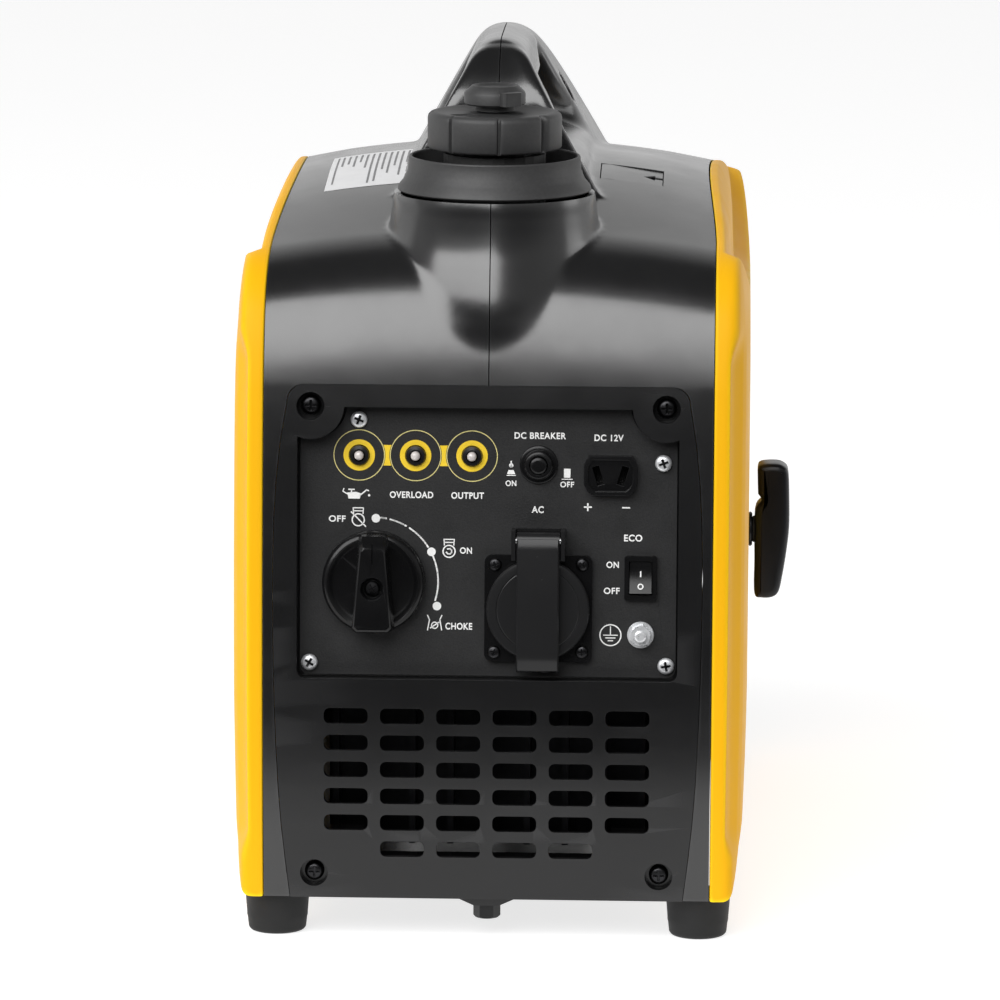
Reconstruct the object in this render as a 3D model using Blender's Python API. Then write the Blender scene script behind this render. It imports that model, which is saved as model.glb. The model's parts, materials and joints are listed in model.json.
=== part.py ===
"""Portable suitcase inverter generator of the 1 kW class, as an assembly of separate parts.

Sizes are millimetres in the casing's own frame: x across (recoil side positive), y along
(control end negative), z up from the floor. finish() turns them into metres.
"""
import math

import bmesh
import bpy
from mathutils import Matrix, Vector

MM = 0.001
GAP = 0.3
WALL = 3.0

# Casing
CASE_BOTTOM = 20.0
SHOULDER_Z = 262.0
CREST_Z = 348.0
SHELL_HALF = 104.0
CROWN_DROP = 0.125
DRAW_LOW_Z = 320.5
DRAW_HIGH_Z = 337.3
DRAW_INNER_X = 80.0
DRAW_DEPTH = 4.2
PROFILE_CURVES = (
    ((-218, 20), (-222, 60), (-223, 110), (-222, 150), 3),
    ((-222, 150), (-221, 190), (-218, 230), (-213, 262), 3),
    ((-213, 262), (-206, 303), (-196, 321), (-158, 328), 6),
    ((-158, 328), (-105, 338), (-60, 348), (0, 348), 3),
)
FRAME_SHIFT = (-10.0, 4.3)

# Side covers
COVER_INNER_X = SHELL_HALF + GAP
COVER_EDGE_X = 116.0
COVER_BULGE_X = 121.0
COVER_TAPER_Z = 110.0
COVER_TAPER = 0.15
STEP_LOW_Z = 287.0
STEP_END_Z = 318.0
STEP_END_Y = 165.0
STEP_FACE_X = 112.0
STEP_FACE_LEAN = 0.108

# End covers: half width against height
END_OUTLINE = ((20, 91), (60, 96), (110, 98.5), (165, 99.5), (210, 98.5), (240, 95.5), (254, 93.2))
END_CORNER = 8.0
END_BACK_Y = -198.0
COVER_SCREWS = ((-82.4, 252.0), (82.4, 252.0), (-80.5, 32.0), (80.5, 32.0))
BORE_R = 6.5

# Vent slots in the front cover
SLOT_LENGTH = 20.5
SLOT_HEIGHT = 7.5
SLOT_PITCH_X = 26.2
SLOT_PITCH_Z = 12.74
SLOT_TOP_Z = 107.6

# Control plate: centre of its face, lean from upright, outline
PLATE_CENTRE = Vector((0.0, -209.5, 183.0))
PLATE_LEAN = math.radians(3.5)
PLATE_HALF = 87.5
PLATE_TOP = 67.5
PLATE_BOTTOM = -57.5
NOTCH_R = 16.5
PLATE_T = 2.0

# Controls, in plate coordinates (across, up)
KNOB_AT = (-53.0, -13.6)
KNOB_R = 24.0
LED_ACROSS = (-60.2, -34.0, -7.8)
LED_UP = 45.2
BREAKER_AT = (23.2, 41.6)
DC_AT = (56.6, 37.2)
AC_AT = (23.5, -25.3)
AC_HALF = 25.0
LID_R = 24.0
HINGE_UP = 7.0
HINGE_OUT = 8.5
ROCKER_AT = (70.9, -10.8)
GROUND_AT = (71.1, -37.4)
PLATE_SCREWS = ((-60.3, 61.8), (81.1, 42.8), (-83.0, -52.0), (83.0, -52.0))

# Filler group
FILLER = (0.0, -150.0)
COLLAR_Z = 345.3
CAP_BOTTOM_Z = 365.0
CAP_TOP_Z = 382.5
CAP_R = 31.5

# Carrying handle
HANDLE_TOP = ((-104, 380), (-99, 388), (-88, 400), (-76, 407), (-62, 408.5), (-20, 408.5), (22, 406.5),
              (42, 403), (62, 396), (82, 382), (98, 362), (106, 349))
GRIP_GAP = (-84.0, 18.0, 361.0, 390.0)
GRIP_FLARE = 48.0
HANDLE_SCREW = (40.0, 372.5)

# Recoil starter
CRANK_Z = 110.0
CRANK_THROW = 13.0
ROPE_Y = -44.0
ROPE_WIND_R = 56.0
ROPE_Z = CRANK_Z + ROPE_WIND_R
ROPE_R = 2.2

# Rear and side openings
TAIL_AT = (-36.0, 170.0)
LOUVRE_COUNT = 7
LOUVRE_LOW_Z = 70.0
LOUVRE_PITCH = 13.0
LOUVRE_Y = 120.0
LOUVRE_HALF = 34.0

# Rest angles
ROCKER_TILT = math.radians(-10)
VENT_ANGLE = math.radians(-58)

# Feet
FOOT_AT = (99.0, 198.0)
FOOT_TOP_R = 15.2
FOOT_FLOOR_R = 13.5

LOOKS = {
    "black": ((0.020, 0.020, 0.021), 0.35, 0.0),
    "plate_grey": ((0.040, 0.040, 0.040), 0.60, 0.0),
    "yellow": ((0.900, 0.480, 0.020), 0.35, 0.0),
    "rubber": ((0.025, 0.025, 0.025), 0.80, 0.0),
    "cap_grey": ((0.045, 0.045, 0.045), 0.65, 0.0),
    "zinc": ((0.650, 0.650, 0.640), 0.30, 1.0),
    "black_steel": ((0.030, 0.030, 0.030), 0.35, 1.0),
    "aluminium": ((0.550, 0.560, 0.570), 0.45, 1.0),
    "steel": ((0.420, 0.420, 0.420), 0.40, 1.0),
    "exhaust": ((0.300, 0.280, 0.250), 0.60, 1.0),
    "copper": ((0.600, 0.280, 0.120), 0.40, 1.0),
    "white_ceramic": ((0.800, 0.780, 0.720), 0.30, 0.0),
    "tank_plastic": ((0.120, 0.120, 0.120), 0.50, 0.0),
    "led": ((0.850, 0.800, 0.750), 0.15, 0.0),
    "rope": ((0.050, 0.050, 0.050), 0.90, 0.0),
}


# ---------------------------------------------------------------- modelling helpers

def solid(bm):
    """A linked object from a bmesh of one closed surface."""
    bmesh.ops.recalc_face_normals(bm, faces=bm.faces)
    mesh = bpy.data.meshes.new("piece")
    bm.to_mesh(mesh)
    bm.free()
    obj = bpy.data.objects.new("piece", mesh)
    bpy.context.scene.collection.objects.link(obj)
    return obj


def loft(rings):
    """Skin over rings of equal point counts, closed at both ends."""
    bm = bmesh.new()
    rows = [[bm.verts.new(point) for point in ring] for ring in rings]
    for row, following in zip(rows, rows[1:]):
        for i in range(len(row)):
            j = (i + 1) % len(row)
            bm.faces.new((row[i], row[j], following[j], following[i]))
    bm.faces.new(rows[0])
    bm.faces.new(rows[-1])
    bmesh.ops.triangulate(bm, faces=bm.faces)
    return solid(bm)


def along(axis, a, b, h):
    """Point with plane coordinates a, b and height h along the axis."""
    if axis == "X":
        return (h, a, b)
    if axis == "Y":
        return (a, h, b)
    return (a, b, h)


def prism(outline, axis, low, high):
    return loft([[along(axis, a, b, h) for a, b in outline] for h in (low, high)])


def box(x0, x1, y0, y1, z0, z1):
    return prism(((x0, y0), (x1, y0), (x1, y1), (x0, y1)), "Z", z0, z1)


def circle(a, b, radius, count, turn=0.0):
    """Points of a circle around (a, b)."""
    step = 2 * math.pi / count
    return [(a + radius * math.cos(turn + step * i), b + radius * math.sin(turn + step * i))
            for i in range(count)]


def turned(profile, a, b, axis="Z", count=24, ring=False):
    """Solid turned from (radius, height) points round the axis through (a, b)."""
    bm = bmesh.new()
    rows = []
    for radius, h in profile:
        if radius == 0:
            rows.append([bm.verts.new(along(axis, a, b, h))] * count)
        else:
            rows.append([bm.verts.new(along(axis, p, q, h)) for p, q in circle(a, b, radius, count)])
    pairs = list(zip(rows, rows[1:]))
    if ring:
        pairs.append((rows[-1], rows[0]))
    for row, following in pairs:
        for i in range(count):
            j = (i + 1) % count
            corners = []
            for vert in (row[i], row[j], following[j], following[i]):
                if vert not in corners:
                    corners.append(vert)
            if len(corners) > 2:
                bm.faces.new(corners)
    return solid(bm)


def rod(a, b, radius, low, high, axis="Z", count=16):
    return turned(((0, low), (radius, low), (radius, high), (0, high)), a, b, axis, count)


def rounded(a, b, half_a, half_b, radius, steps=3):
    """Rounded rectangle outline around (a, b)."""
    points = []
    for quadrant, (sa, sb) in enumerate(((1, 1), (-1, 1), (-1, -1), (1, -1))):
        for i in range(steps + 1):
            angle = math.pi / 2 * (quadrant + i / steps)
            points.append((a + sa * (half_a - radius) + radius * math.cos(angle),
                           b + sb * (half_b - radius) + radius * math.sin(angle)))
    return points


def combine(target, other, operation):
    """Exact Boolean of two objects; the second is used up."""
    modifier = target.modifiers.new("combine", "BOOLEAN")
    modifier.operation = operation
    modifier.solver = "EXACT"
    modifier.object = other
    depsgraph = bpy.context.evaluated_depsgraph_get()
    mesh = bpy.data.meshes.new_from_object(target.evaluated_get(depsgraph))
    target.modifiers.clear()
    target.data = mesh
    bpy.data.objects.remove(other, do_unlink=True)
    return target


def cut(target, *cutters):
    for cutter in cutters:
        combine(target, cutter, "DIFFERENCE")
    return target


def join(target, *others):
    for other in others:
        combine(target, other, "UNION")
    return target


def keep(target, region):
    return combine(target, region, "INTERSECT")


def copy_of(obj):
    twin = bpy.data.objects.new("piece", obj.data.copy())
    bpy.context.scene.collection.objects.link(twin)
    return twin


def discard(obj):
    bpy.data.objects.remove(obj, do_unlink=True)


def material_for(name, look):
    colour, roughness, metallic = LOOKS[look]
    material = bpy.data.materials.new(name + "_" + look)
    material.use_nodes = True
    shader = material.node_tree.nodes["Principled BSDF"]
    shader.inputs["Base Color"].default_value = (*colour, 1.0)
    shader.inputs["Roughness"].default_value = roughness
    shader.inputs["Metallic"].default_value = metallic
    material.diffuse_color = (*colour, 1.0)
    return material


def finish(obj, name, look, origin=(0.0, 0.0, 0.0), sharp=35.0):
    """Clean the mesh, turn it into metres about its origin and name it."""
    origin = Vector(origin)
    bm = bmesh.new()
    bm.from_mesh(obj.data)
    bmesh.ops.remove_doubles(bm, verts=bm.verts, dist=0.03)
    bmesh.ops.dissolve_degenerate(bm, edges=bm.edges, dist=0.002)
    bmesh.ops.dissolve_limit(bm, angle_limit=math.radians(0.15), verts=bm.verts, edges=bm.edges)
    bmesh.ops.triangulate(bm, faces=bm.faces)
    bmesh.ops.translate(bm, verts=bm.verts, vec=-origin)
    bmesh.ops.scale(bm, verts=bm.verts, vec=(MM, MM, MM))
    mesh = bpy.data.meshes.new(name)
    bm.to_mesh(mesh)
    bm.free()
    mesh.shade_smooth()
    mesh.set_sharp_from_angle(angle=math.radians(sharp))
    mesh.materials.append(material_for(name, look))
    obj.data = mesh
    obj.name = name
    obj.location = origin * MM
    obj.parent = bpy.data.objects["generator"]
    return obj


# ---------------------------------------------------------------- casing surface

def bezier(curve, t):
    a, b, c, d = curve[:4]
    s = 1 - t
    weights = (s ** 3, 3 * s * s * t, 3 * s * t * t, t ** 3)
    return tuple(sum(w * p[i] for w, p in zip(weights, (a, b, c, d))) for i in (0, 1))


def casing_profile(inset):
    """Points (y, z) over the casing from the front foot to the rear foot, moved inward by inset."""
    front = [bezier(curve, i / curve[4]) for curve in PROFILE_CURVES for i in range(curve[4])]
    front.append((0.0, CREST_Z))
    points = front + [(-y, z) for y, z in reversed(front[:-1])]
    moved = []
    for i, (y, z) in enumerate(points):
        before = points[max(i - 1, 0)]
        after = points[min(i + 1, len(points) - 1)]
        dy, dz = after[0] - before[0], after[1] - before[1]
        length = math.hypot(dy, dz)
        moved.append((y + inset * dz / length, z - inset * dy / length))
    return moved


def crowned(x, z):
    """Height after the crown that lowers the top towards the sides."""
    if z <= SHOULDER_Z:
        return z
    return SHOULDER_Z + (z - SHOULDER_Z) * (1 - CROWN_DROP * (x / SHELL_HALF) ** 2)


def draw_in_flanks(obj):
    """Draw both flanks in towards the crest."""
    for vert in obj.data.vertices:
        x, z = vert.co.x, vert.co.z
        rise = min(max((z - DRAW_LOW_Z) / (DRAW_HIGH_Z - DRAW_LOW_Z), 0), 1)
        share = min(max((abs(x) - DRAW_INNER_X) / (SHELL_HALF - DRAW_INNER_X), 0), 1)
        vert.co.x = x - math.copysign(DRAW_DEPTH * share * rise ** 1.5, x)


def casing_solid(inset, half, bottom=CASE_BOTTOM):
    """Solid inside the casing profile, from -half to half across."""
    stations = [half * i for i in (-1, -0.75, -0.4, 0, 0.4, 0.75, 1)]
    profile = casing_profile(inset)
    profile = [(profile[0][0], bottom)] + profile[1:-1] + [(profile[-1][0], bottom)]
    return loft([[(x, y, crowned(x, z)) for y, z in profile] for x in stations])


def crest_height(y):
    """Height of the casing over the centre plane at y."""
    points = casing_profile(0.0)
    for (y0, z0), (y1, z1) in zip(points, points[1:]):
        if y0 <= y <= y1 and y1 > y0:
            return z0 + (z1 - z0) * (y - y0) / (y1 - y0)
    return CASE_BOTTOM


def end_outline(grow):
    """Barrel outline of an end cover in (x, z)."""
    side = [(half + grow, z) for z, half in END_OUTLINE]
    half_top = END_OUTLINE[-1][1] + grow
    top = SHOULDER_Z + grow
    corner = [(half_top - END_CORNER + END_CORNER * math.cos(angle),
               top - END_CORNER + END_CORNER * math.sin(angle))
              for angle in (math.radians(a) for a in (22, 45, 68, 90))]
    right = side + corner
    right[0] = (right[0][0], CASE_BOTTOM - 5)
    return right + [(-x, z) for x, z in reversed(right)]


# ---------------------------------------------------------------- casing parts

def handle_half_width(z):
    return 13.0 + (402.0 - z) * 0.545


def handle_section(y, top):
    """Closed cross-section of the handle at y: steep flanks under a rounded top."""
    base = crest_height(y) - 2.2
    low = top - 7.0
    right = [(handle_half_width(base), base)]
    if low > base + 1:
        right.append((handle_half_width(low), low))
    else:
        right.append((handle_half_width(base + 0.5), base + 0.5))
    shoulder = handle_half_width(max(low, base + 0.5))
    right.append((shoulder - 2.5, max(top - 2.5, base + 0.8)))
    right.append((shoulder - 6.5, max(top, base + 1.0)))
    return [(x, y, z) for x, z in right] + [(-x, y, z) for x, z in reversed(right)]


def grip_gap():
    """Cutter for the finger gap; its rear edge flares outward into the rear leg."""
    front, back, low, high = GRIP_GAP
    rings = []
    for x, flare in ((-60, GRIP_FLARE), (-14, 0), (14, 0), (60, GRIP_FLARE)):
        outline = ((front, low), (front, high - 10), (front + 8, high), (back - 8, high),
                   (back + flare / 3, high - 10), (back + flare, low))
        rings.append([(x, y, z) for y, z in outline])
    return loft(rings)


def handle_halves():
    """Carrying handle in two halves: an arch along the casing with a finger gap under its grip."""
    handle = loft([handle_section(y, top) for y, top in HANDLE_TOP])
    cut(handle, grip_gap(), casing_solid(-GAP, SHELL_HALF), box(-60, 60, -110, -100.6, 300, 346.3))
    y, z = HANDLE_SCREW
    reach = handle_half_width(z) - 9
    for side in (-1, 1):
        ends = sorted((side * reach, side * 60))
        cut(handle, rod(y, z, 6.8, ends[0], ends[1], "X", 12))
    split_halves(handle, "handle")


def split_halves(whole, name):
    """Left and right halves of a moulding, with the seam on the centre plane."""
    for side, low, high in (("left", -120, -GAP / 2), ("right", GAP / 2, 120)):
        half = keep(copy_of(whole), box(low, high, -240, 240, 0, 430))
        finish(half, name + "_" + side, "black")
    discard(whole)


def neck(grow, top):
    """Flared stem that carries the filler, grown outward and ended at top."""
    x, y = FILLER
    rings = ((58, 280 + grow), (55, 300), (48.5, 330), (46, 344))
    profile = [(r + grow, z) for r, z in rings]
    profile[-1] = (profile[-1][0], top)
    return turned([(0, 280 + grow)] + profile + [(0, top)], x, y, "Z", 32)


def service_lid_region(grow):
    """Block over the spark plug access in the top."""
    return box(48 - grow, 78 + grow, -70 - grow, -38 + grow, 300, 360)


def shell_halves():
    """Left and right casing shells with the filler neck moulded on."""
    shell = casing_solid(0, SHELL_HALF)
    cut(shell, casing_solid(WALL, SHELL_HALF + 2, CASE_BOTTOM - 10))
    x, y = FILLER
    stem = cut(neck(0, 344.6), casing_solid(WALL - 1, SHELL_HALF, CASE_BOTTOM - 10))
    join(shell, stem)
    cut(shell, neck(-WALL, 341), rod(x, y, 27, 335, 350, count=24))
    cut(shell, prism(end_outline(GAP), "Y", -240, -190))
    cut(shell, prism(end_outline(GAP), "Y", 190, 240))
    cut(shell, service_lid_region(GAP))
    draw_in_flanks(shell)
    split_halves(shell, "shell")


def service_lid():
    """Flush lid in the top right of the casing."""
    lid = casing_solid(0, SHELL_HALF)
    cut(lid, casing_solid(WALL, SHELL_HALF + 2, CASE_BOTTOM - 10))
    keep(lid, service_lid_region(0))
    cut(lid, box(70, 79, -58, -50, 330, 360))
    finish(lid, "service_lid", "black", (63, -54, 344))


def side_ring(x, inset):
    """Closed outline of a side cover at depth x, drawn in by inset."""
    middle = (CASE_BOTTOM + CREST_Z) / 2
    half_z = middle - CASE_BOTTOM
    floor_points = [(217 - 434 * i / 6, CASE_BOTTOM) for i in range(1, 6)]
    ring = []
    for y, z in casing_profile(0.0) + floor_points:
        y = y * (1 - inset / 222.0)
        z = middle + (z - middle) * (1 - inset / half_z)
        low = min(max((COVER_TAPER_Z - z) / (COVER_TAPER_Z - CASE_BOTTOM), 0), 1)
        depth = (x - COVER_INNER_X) * (1 - COVER_TAPER * low)
        ring.append((COVER_INNER_X + depth, y, crowned(SHELL_HALF, z)))
    return ring


def step_line(y):
    """Height of the step in a side cover at y."""
    return STEP_LOW_Z + (STEP_END_Z - STEP_LOW_Z) * min(abs(y) / STEP_END_Y, 1) ** 2


def step_block(inset):
    """Block outside the thinner upper part of a side cover, moved inward by inset."""
    line = [(y, step_line(y) - inset) for y in range(-200, 201, 40)]
    outline = [(-240, STEP_END_Z - inset)] + line + [(240, STEP_END_Z - inset), (240, 380), (-240, 380)]
    inner = [(STEP_FACE_X - inset - (z - STEP_LOW_Z) * STEP_FACE_LEAN, y, z) for y, z in outline]
    return loft([inner, [(135, y, z) for y, z in outline]])


def side_cover(side):
    """Side cover, thinner above a step, with louvres; the right one lets the starter rope through."""
    outer = ((COVER_INNER_X, 0), (111.5, 0.4), (114.5, 1.5), (COVER_EDGE_X, 5), (118, 16), (120, 45),
             (COVER_BULGE_X, 85))
    cover = loft([side_ring(x, inset) for x, inset in outer])
    inner = ((COVER_INNER_X - 5, WALL), (COVER_INNER_X + 6, WALL), (COVER_EDGE_X - WALL, 9), (115, 18), (117, 46),
             (COVER_BULGE_X - WALL, 86))
    hollow = cut(loft([side_ring(x, inset) for x, inset in inner]), step_block(WALL))
    cut(cover, step_block(0), hollow)
    for i in range(LOUVRE_COUNT):
        z = LOUVRE_LOW_Z + LOUVRE_PITCH * i
        cut(cover, prism(rounded(LOUVRE_Y, z, LOUVRE_HALF, 3.0, 2.5, 1), "X", 110, 125))
    draw_in_flanks(cover)
    if side > 0:
        cut(cover, rod(ROPE_Y, ROPE_Z, 6.3, 110, 125, "X", 16))
        finish(cover, "side_cover_right", "yellow")
    else:
        mirror_across(cover)
        finish(cover, "side_cover_left", "yellow")


def mirror_across(obj):
    """Reflect a mesh through the centre plane and keep its faces outward."""
    obj.data.transform(Matrix.Scale(-1, 4, (1, 0, 0)))
    obj.data.flip_normals()


def surface_y(z):
    """Front face of the casing at height z."""
    points = casing_profile(0.0)
    for (y0, z0), (y1, z1) in zip(points, points[1:]):
        if z0 <= z <= z1:
            return y0 + (y1 - y0) * (z - z0) / (z1 - z0)
    return points[0][0]


def vent_slots():
    """Front vent slots as cutters; the bottom row has no outer columns."""
    cutters = []
    for row in range(6):
        z = SLOT_TOP_Z - SLOT_PITCH_Z * row
        for column in range(6):
            if row == 5 and column in (0, 5):
                continue
            x = SLOT_PITCH_X * (column - 2.5)
            outline = rounded(x, z, SLOT_LENGTH / 2, SLOT_HEIGHT / 2, 2.6, 1)
            cutters.append(prism(outline, "Y", -240, -190))
    return cutters


def front_cover():
    """Bezel, control recess and lower grille in one moulding."""
    cover = casing_solid(0, SHELL_HALF)
    keep(cover, prism(end_outline(0), "Y", -240, END_BACK_Y))
    join(cover, prism(((-17, 21), (-6, 16), (6, 16), (17, 21)), "Y", -214, -199))
    for wall, half_x, low, high in ((WALL, 84, 50.5, 113.5), (WALL + 0.3, 58, 38, 52)):
        pocket = casing_solid(wall, half_x)
        keep(pocket, box(-half_x, half_x, -240, -190, low, high))
        cut(cover, pocket)
    cut(cover, on_plate(prism(plate_outline(0.6), "Z", -PLATE_T - GAP, 30)))
    cut(cover, on_plate(prism(rounded(0, 4.0, 74, 51.5, 4, 1), "Z", -30, 0)))
    cut(cover, on_plate(box(60, 79.5, -30, 20, -30, 0)))
    for u, v in PLATE_SCREWS:
        cut(cover, on_plate(rod(u, v, 2.2, -30, 0, count=10)))
    for x, z in COVER_SCREWS:
        face = surface_y(z)
        cut(cover, rod(x, z, BORE_R, face - 10, face + 6, "Y", 20))
        cut(cover, rod(x, z, 2.5, face, -190, "Y", 10))
    cut(cover, *vent_slots())
    finish(cover, "front_cover", "black")


def rear_cover():
    """Rear cover with louvres and the exhaust opening."""
    cover = casing_solid(0, SHELL_HALF)
    cut(cover, casing_solid(WALL, SHELL_HALF + 2, CASE_BOTTOM - 10))
    keep(cover, prism(end_outline(0), "Y", 190, 240))
    x, z = TAIL_AT
    cut(cover, rod(x, z, 14, 190, 240, "Y", 24))
    for side in (-1, 1):
        for i in range(7):
            outline = rounded(side * 34, 48 + 11 * i, 27, 3.2, 2.5, 1)
            cut(cover, prism(outline, "Y", 190, 240))
    finish(cover, "rear_cover", "black")


def base_tray():
    tray = box(-103.5, 103.5, -197.5, 213, CASE_BOTTOM + GAP, 34)
    cut(tray, box(-101, 101, -195, 210.5, 23.5, 40))
    finish(tray, "base_tray", "black")


def feet():
    x, y = FOOT_AT
    top = CASE_BOTTOM - GAP
    profile = ((0, 0), (FOOT_FLOOR_R - 1, 0), (FOOT_FLOOR_R, 1.2), (FOOT_TOP_R, top), (0, top))
    for end, sy in (("front", -1), ("rear", 1)):
        for side, sx in (("left", -1), ("right", 1)):
            finish(turned(profile, sx * x, sy * y, "Z", 16), "foot_" + end + "_" + side, "rubber")


# ---------------------------------------------------------------- screws and controls

def plate_matrix():
    """Plate coordinates (across, up, outward) to the casing frame."""
    s, c = math.sin(PLATE_LEAN), math.cos(PLATE_LEAN)
    lean = Matrix(((1, 0, 0, 0), (0, s, -c, 0), (0, c, s, 0), (0, 0, 0, 1)))
    return Matrix.Translation(PLATE_CENTRE) @ lean


def on_plate(obj):
    obj.data.transform(plate_matrix())
    return obj


def plate_point(u, v, w=0.0):
    return plate_matrix() @ Vector((u, v, w))


def plate_outline(grow):
    """Plate outline with a round notch at each top corner for the cover screws."""
    half, top, bottom = PLATE_HALF + grow, PLATE_TOP + grow, PLATE_BOTTOM - grow
    corner_u, corner_v = COVER_SCREWS[1][0], 69.0
    radius = NOTCH_R - grow
    first = -math.acos((half - corner_u) / radius)
    last = -math.pi + math.asin((corner_v - top) / radius)
    right = [(half - 4, bottom), (half, bottom + 4)]
    for i in range(6):
        angle = first + (last - first) * i / 5
        right.append((corner_u + radius * math.cos(angle), corner_v + radius * math.sin(angle)))
    return right + [(-u, v) for u, v in reversed(right)]


def cross_recess(a, b, axis, face, depth, arm):
    """Phillips recess as two crossed bars sunk into a screw head."""
    ends = sorted((face, face + depth))
    bars = [prism(((a - p, b - q), (a + p, b - q), (a + p, b + q), (a - p, b + q)), axis, *ends)
            for p, q in ((arm, 0.5), (0.5, arm))]
    return bars


def plate_screws():
    for number, (u, v) in enumerate(PLATE_SCREWS, 1):
        profile = ((0, -7), (1.8, -7), (1.8, GAP), (3.7, GAP), (3.5, 1.8), (2.2, 2.8), (0, 2.8))
        screw = turned(profile, u, v, "Z", 10)
        cut(screw, *cross_recess(u, v, "Z", 1.7, 3.0, 2.1))
        finish(on_plate(screw), "plate_screw_%d" % number, "zinc")


def cover_screws():
    for number, (x, z) in enumerate(COVER_SCREWS, 1):
        seat = surface_y(z) + 6 - GAP
        profile = ((0, seat + 9), (2.2, seat + 9), (2.2, seat), (4.6, seat), (4.3, seat - 2), (2.8, seat - 3.4),
                   (0, seat - 3.4))
        screw = turned(profile, x, z, "Y", 10)
        cut(screw, *cross_recess(x, z, "Y", seat - 2.0, -4.0, 2.5))
        finish(screw, "cover_screw_%d" % number, "black_steel")


def control_plate():
    plate = prism(plate_outline(0), "Z", -PLATE_T, 0)
    for u, v in PLATE_SCREWS:
        cut(plate, rod(u, v, 2.2, -5, 5, count=8))
    for u in LED_ACROSS:
        cut(plate, rod(u, LED_UP, 4.9, -5, 5, count=12))
    holes = ((KNOB_AT, 5.0, 12), (BREAKER_AT, 5.4, 12), (AC_AT, 21.0, 28), (GROUND_AT, 3.3, 10))
    for (u, v), radius, count in holes:
        cut(plate, rod(u, v, radius, -5, 5, count=count))
    cut(plate, prism(rounded(*DC_AT, 10.3, 7.8, 0.3, 1), "Z", -5, 5))
    cut(plate, prism(rounded(*ROCKER_AT, 6.3, 8.8, 0.3, 1), "Z", -5, 5))
    finish(on_plate(plate), "control_plate", "plate_grey")


def indicator_lamps():
    for number, u in enumerate(LED_ACROSS, 1):
        profile = ((0, -6), (4.1, -6), (4.5, GAP), (4.5, 2.4), (2.6, 2.6), (2.4, 3.8), (1.2, 4.8), (0, 4.8))
        finish(on_plate(turned(profile, u, LED_UP, "Z", 12)), "lamp_%d" % number, "led")


def engine_knob():
    """Fuel, run and choke knob: a dished disc with a tapered grip bar across it."""
    u, v = KNOB_AT
    profile = ((0, -14), (4.5, -14), (4.5, 0.5), (KNOB_R - 0.6, 0.5), (KNOB_R, 1.5), (KNOB_R - 0.4, 7),
               (KNOB_R - 2, 9), (0, 9))
    knob = turned(profile, u, v, "Z", 28)
    rings = []
    for w, half_u, half_v in ((6, 8.2, 22.6), (14, 7.4, 22.2), (18, 6.6, 21.2), (19.5, 5.2, 19.8)):
        rings.append([(a, b, w) for a, b in rounded(u, v, half_u, half_v, 3.5, 2)])
    join(knob, loft(rings))
    finish(on_plate(knob), "engine_knob", "black", plate_point(u, v))


def breaker():
    u, v = BREAKER_AT
    profile = ((0, -2.3), (5.0, -2.3), (5.0, GAP), (9.0, GAP), (8.7, 1.6), (6.6, 1.6), (6.4, 4.6), (5.7, 5.2), (0, 5.2))
    body = turned(profile, u, v, "Z", 24)
    join(body, box(u - 8, u + 8, v - 11, v + 11, -26, -2.3))
    cut(body, rod(u, v, 4.2, -9, 8, count=20))
    finish(on_plate(body), "breaker_body", "black")
    button = turned(((0, -8.5), (3.9, -8.5), (3.9, 5.6), (3.3, 6.4), (0, 6.7)), u, v, "Z", 20)
    finish(on_plate(button), "breaker_button", "black", plate_point(u, v))


def dc_socket():
    """Two-slot direct current outlet, the slots leaning towards each other."""
    u, v = DC_AT
    outline = [(u - 12.2, v - 6), (u - 9, v - 9.3), (u + 9, v - 9.3), (u + 12.2, v - 6),
               (u + 12.2, v + 9.3), (u - 12.2, v + 9.3)]
    socket = prism(outline, "Z", GAP, 5)
    join(socket, box(u - 9.8, u + 9.8, v - 7.3, v + 7.3, -18, 1))
    for side in (-1, 1):
        slot = box(-1.7, 1.7, -4.2, 4.2, -9, 8)
        slot.data.transform(Matrix.Translation((u + side * 5.0, v, 0)) @ Matrix.Rotation(side * 0.26, 4, "Z"))
        cut(socket, slot)
    finish(on_plate(socket), "dc_socket", "black")


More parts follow.
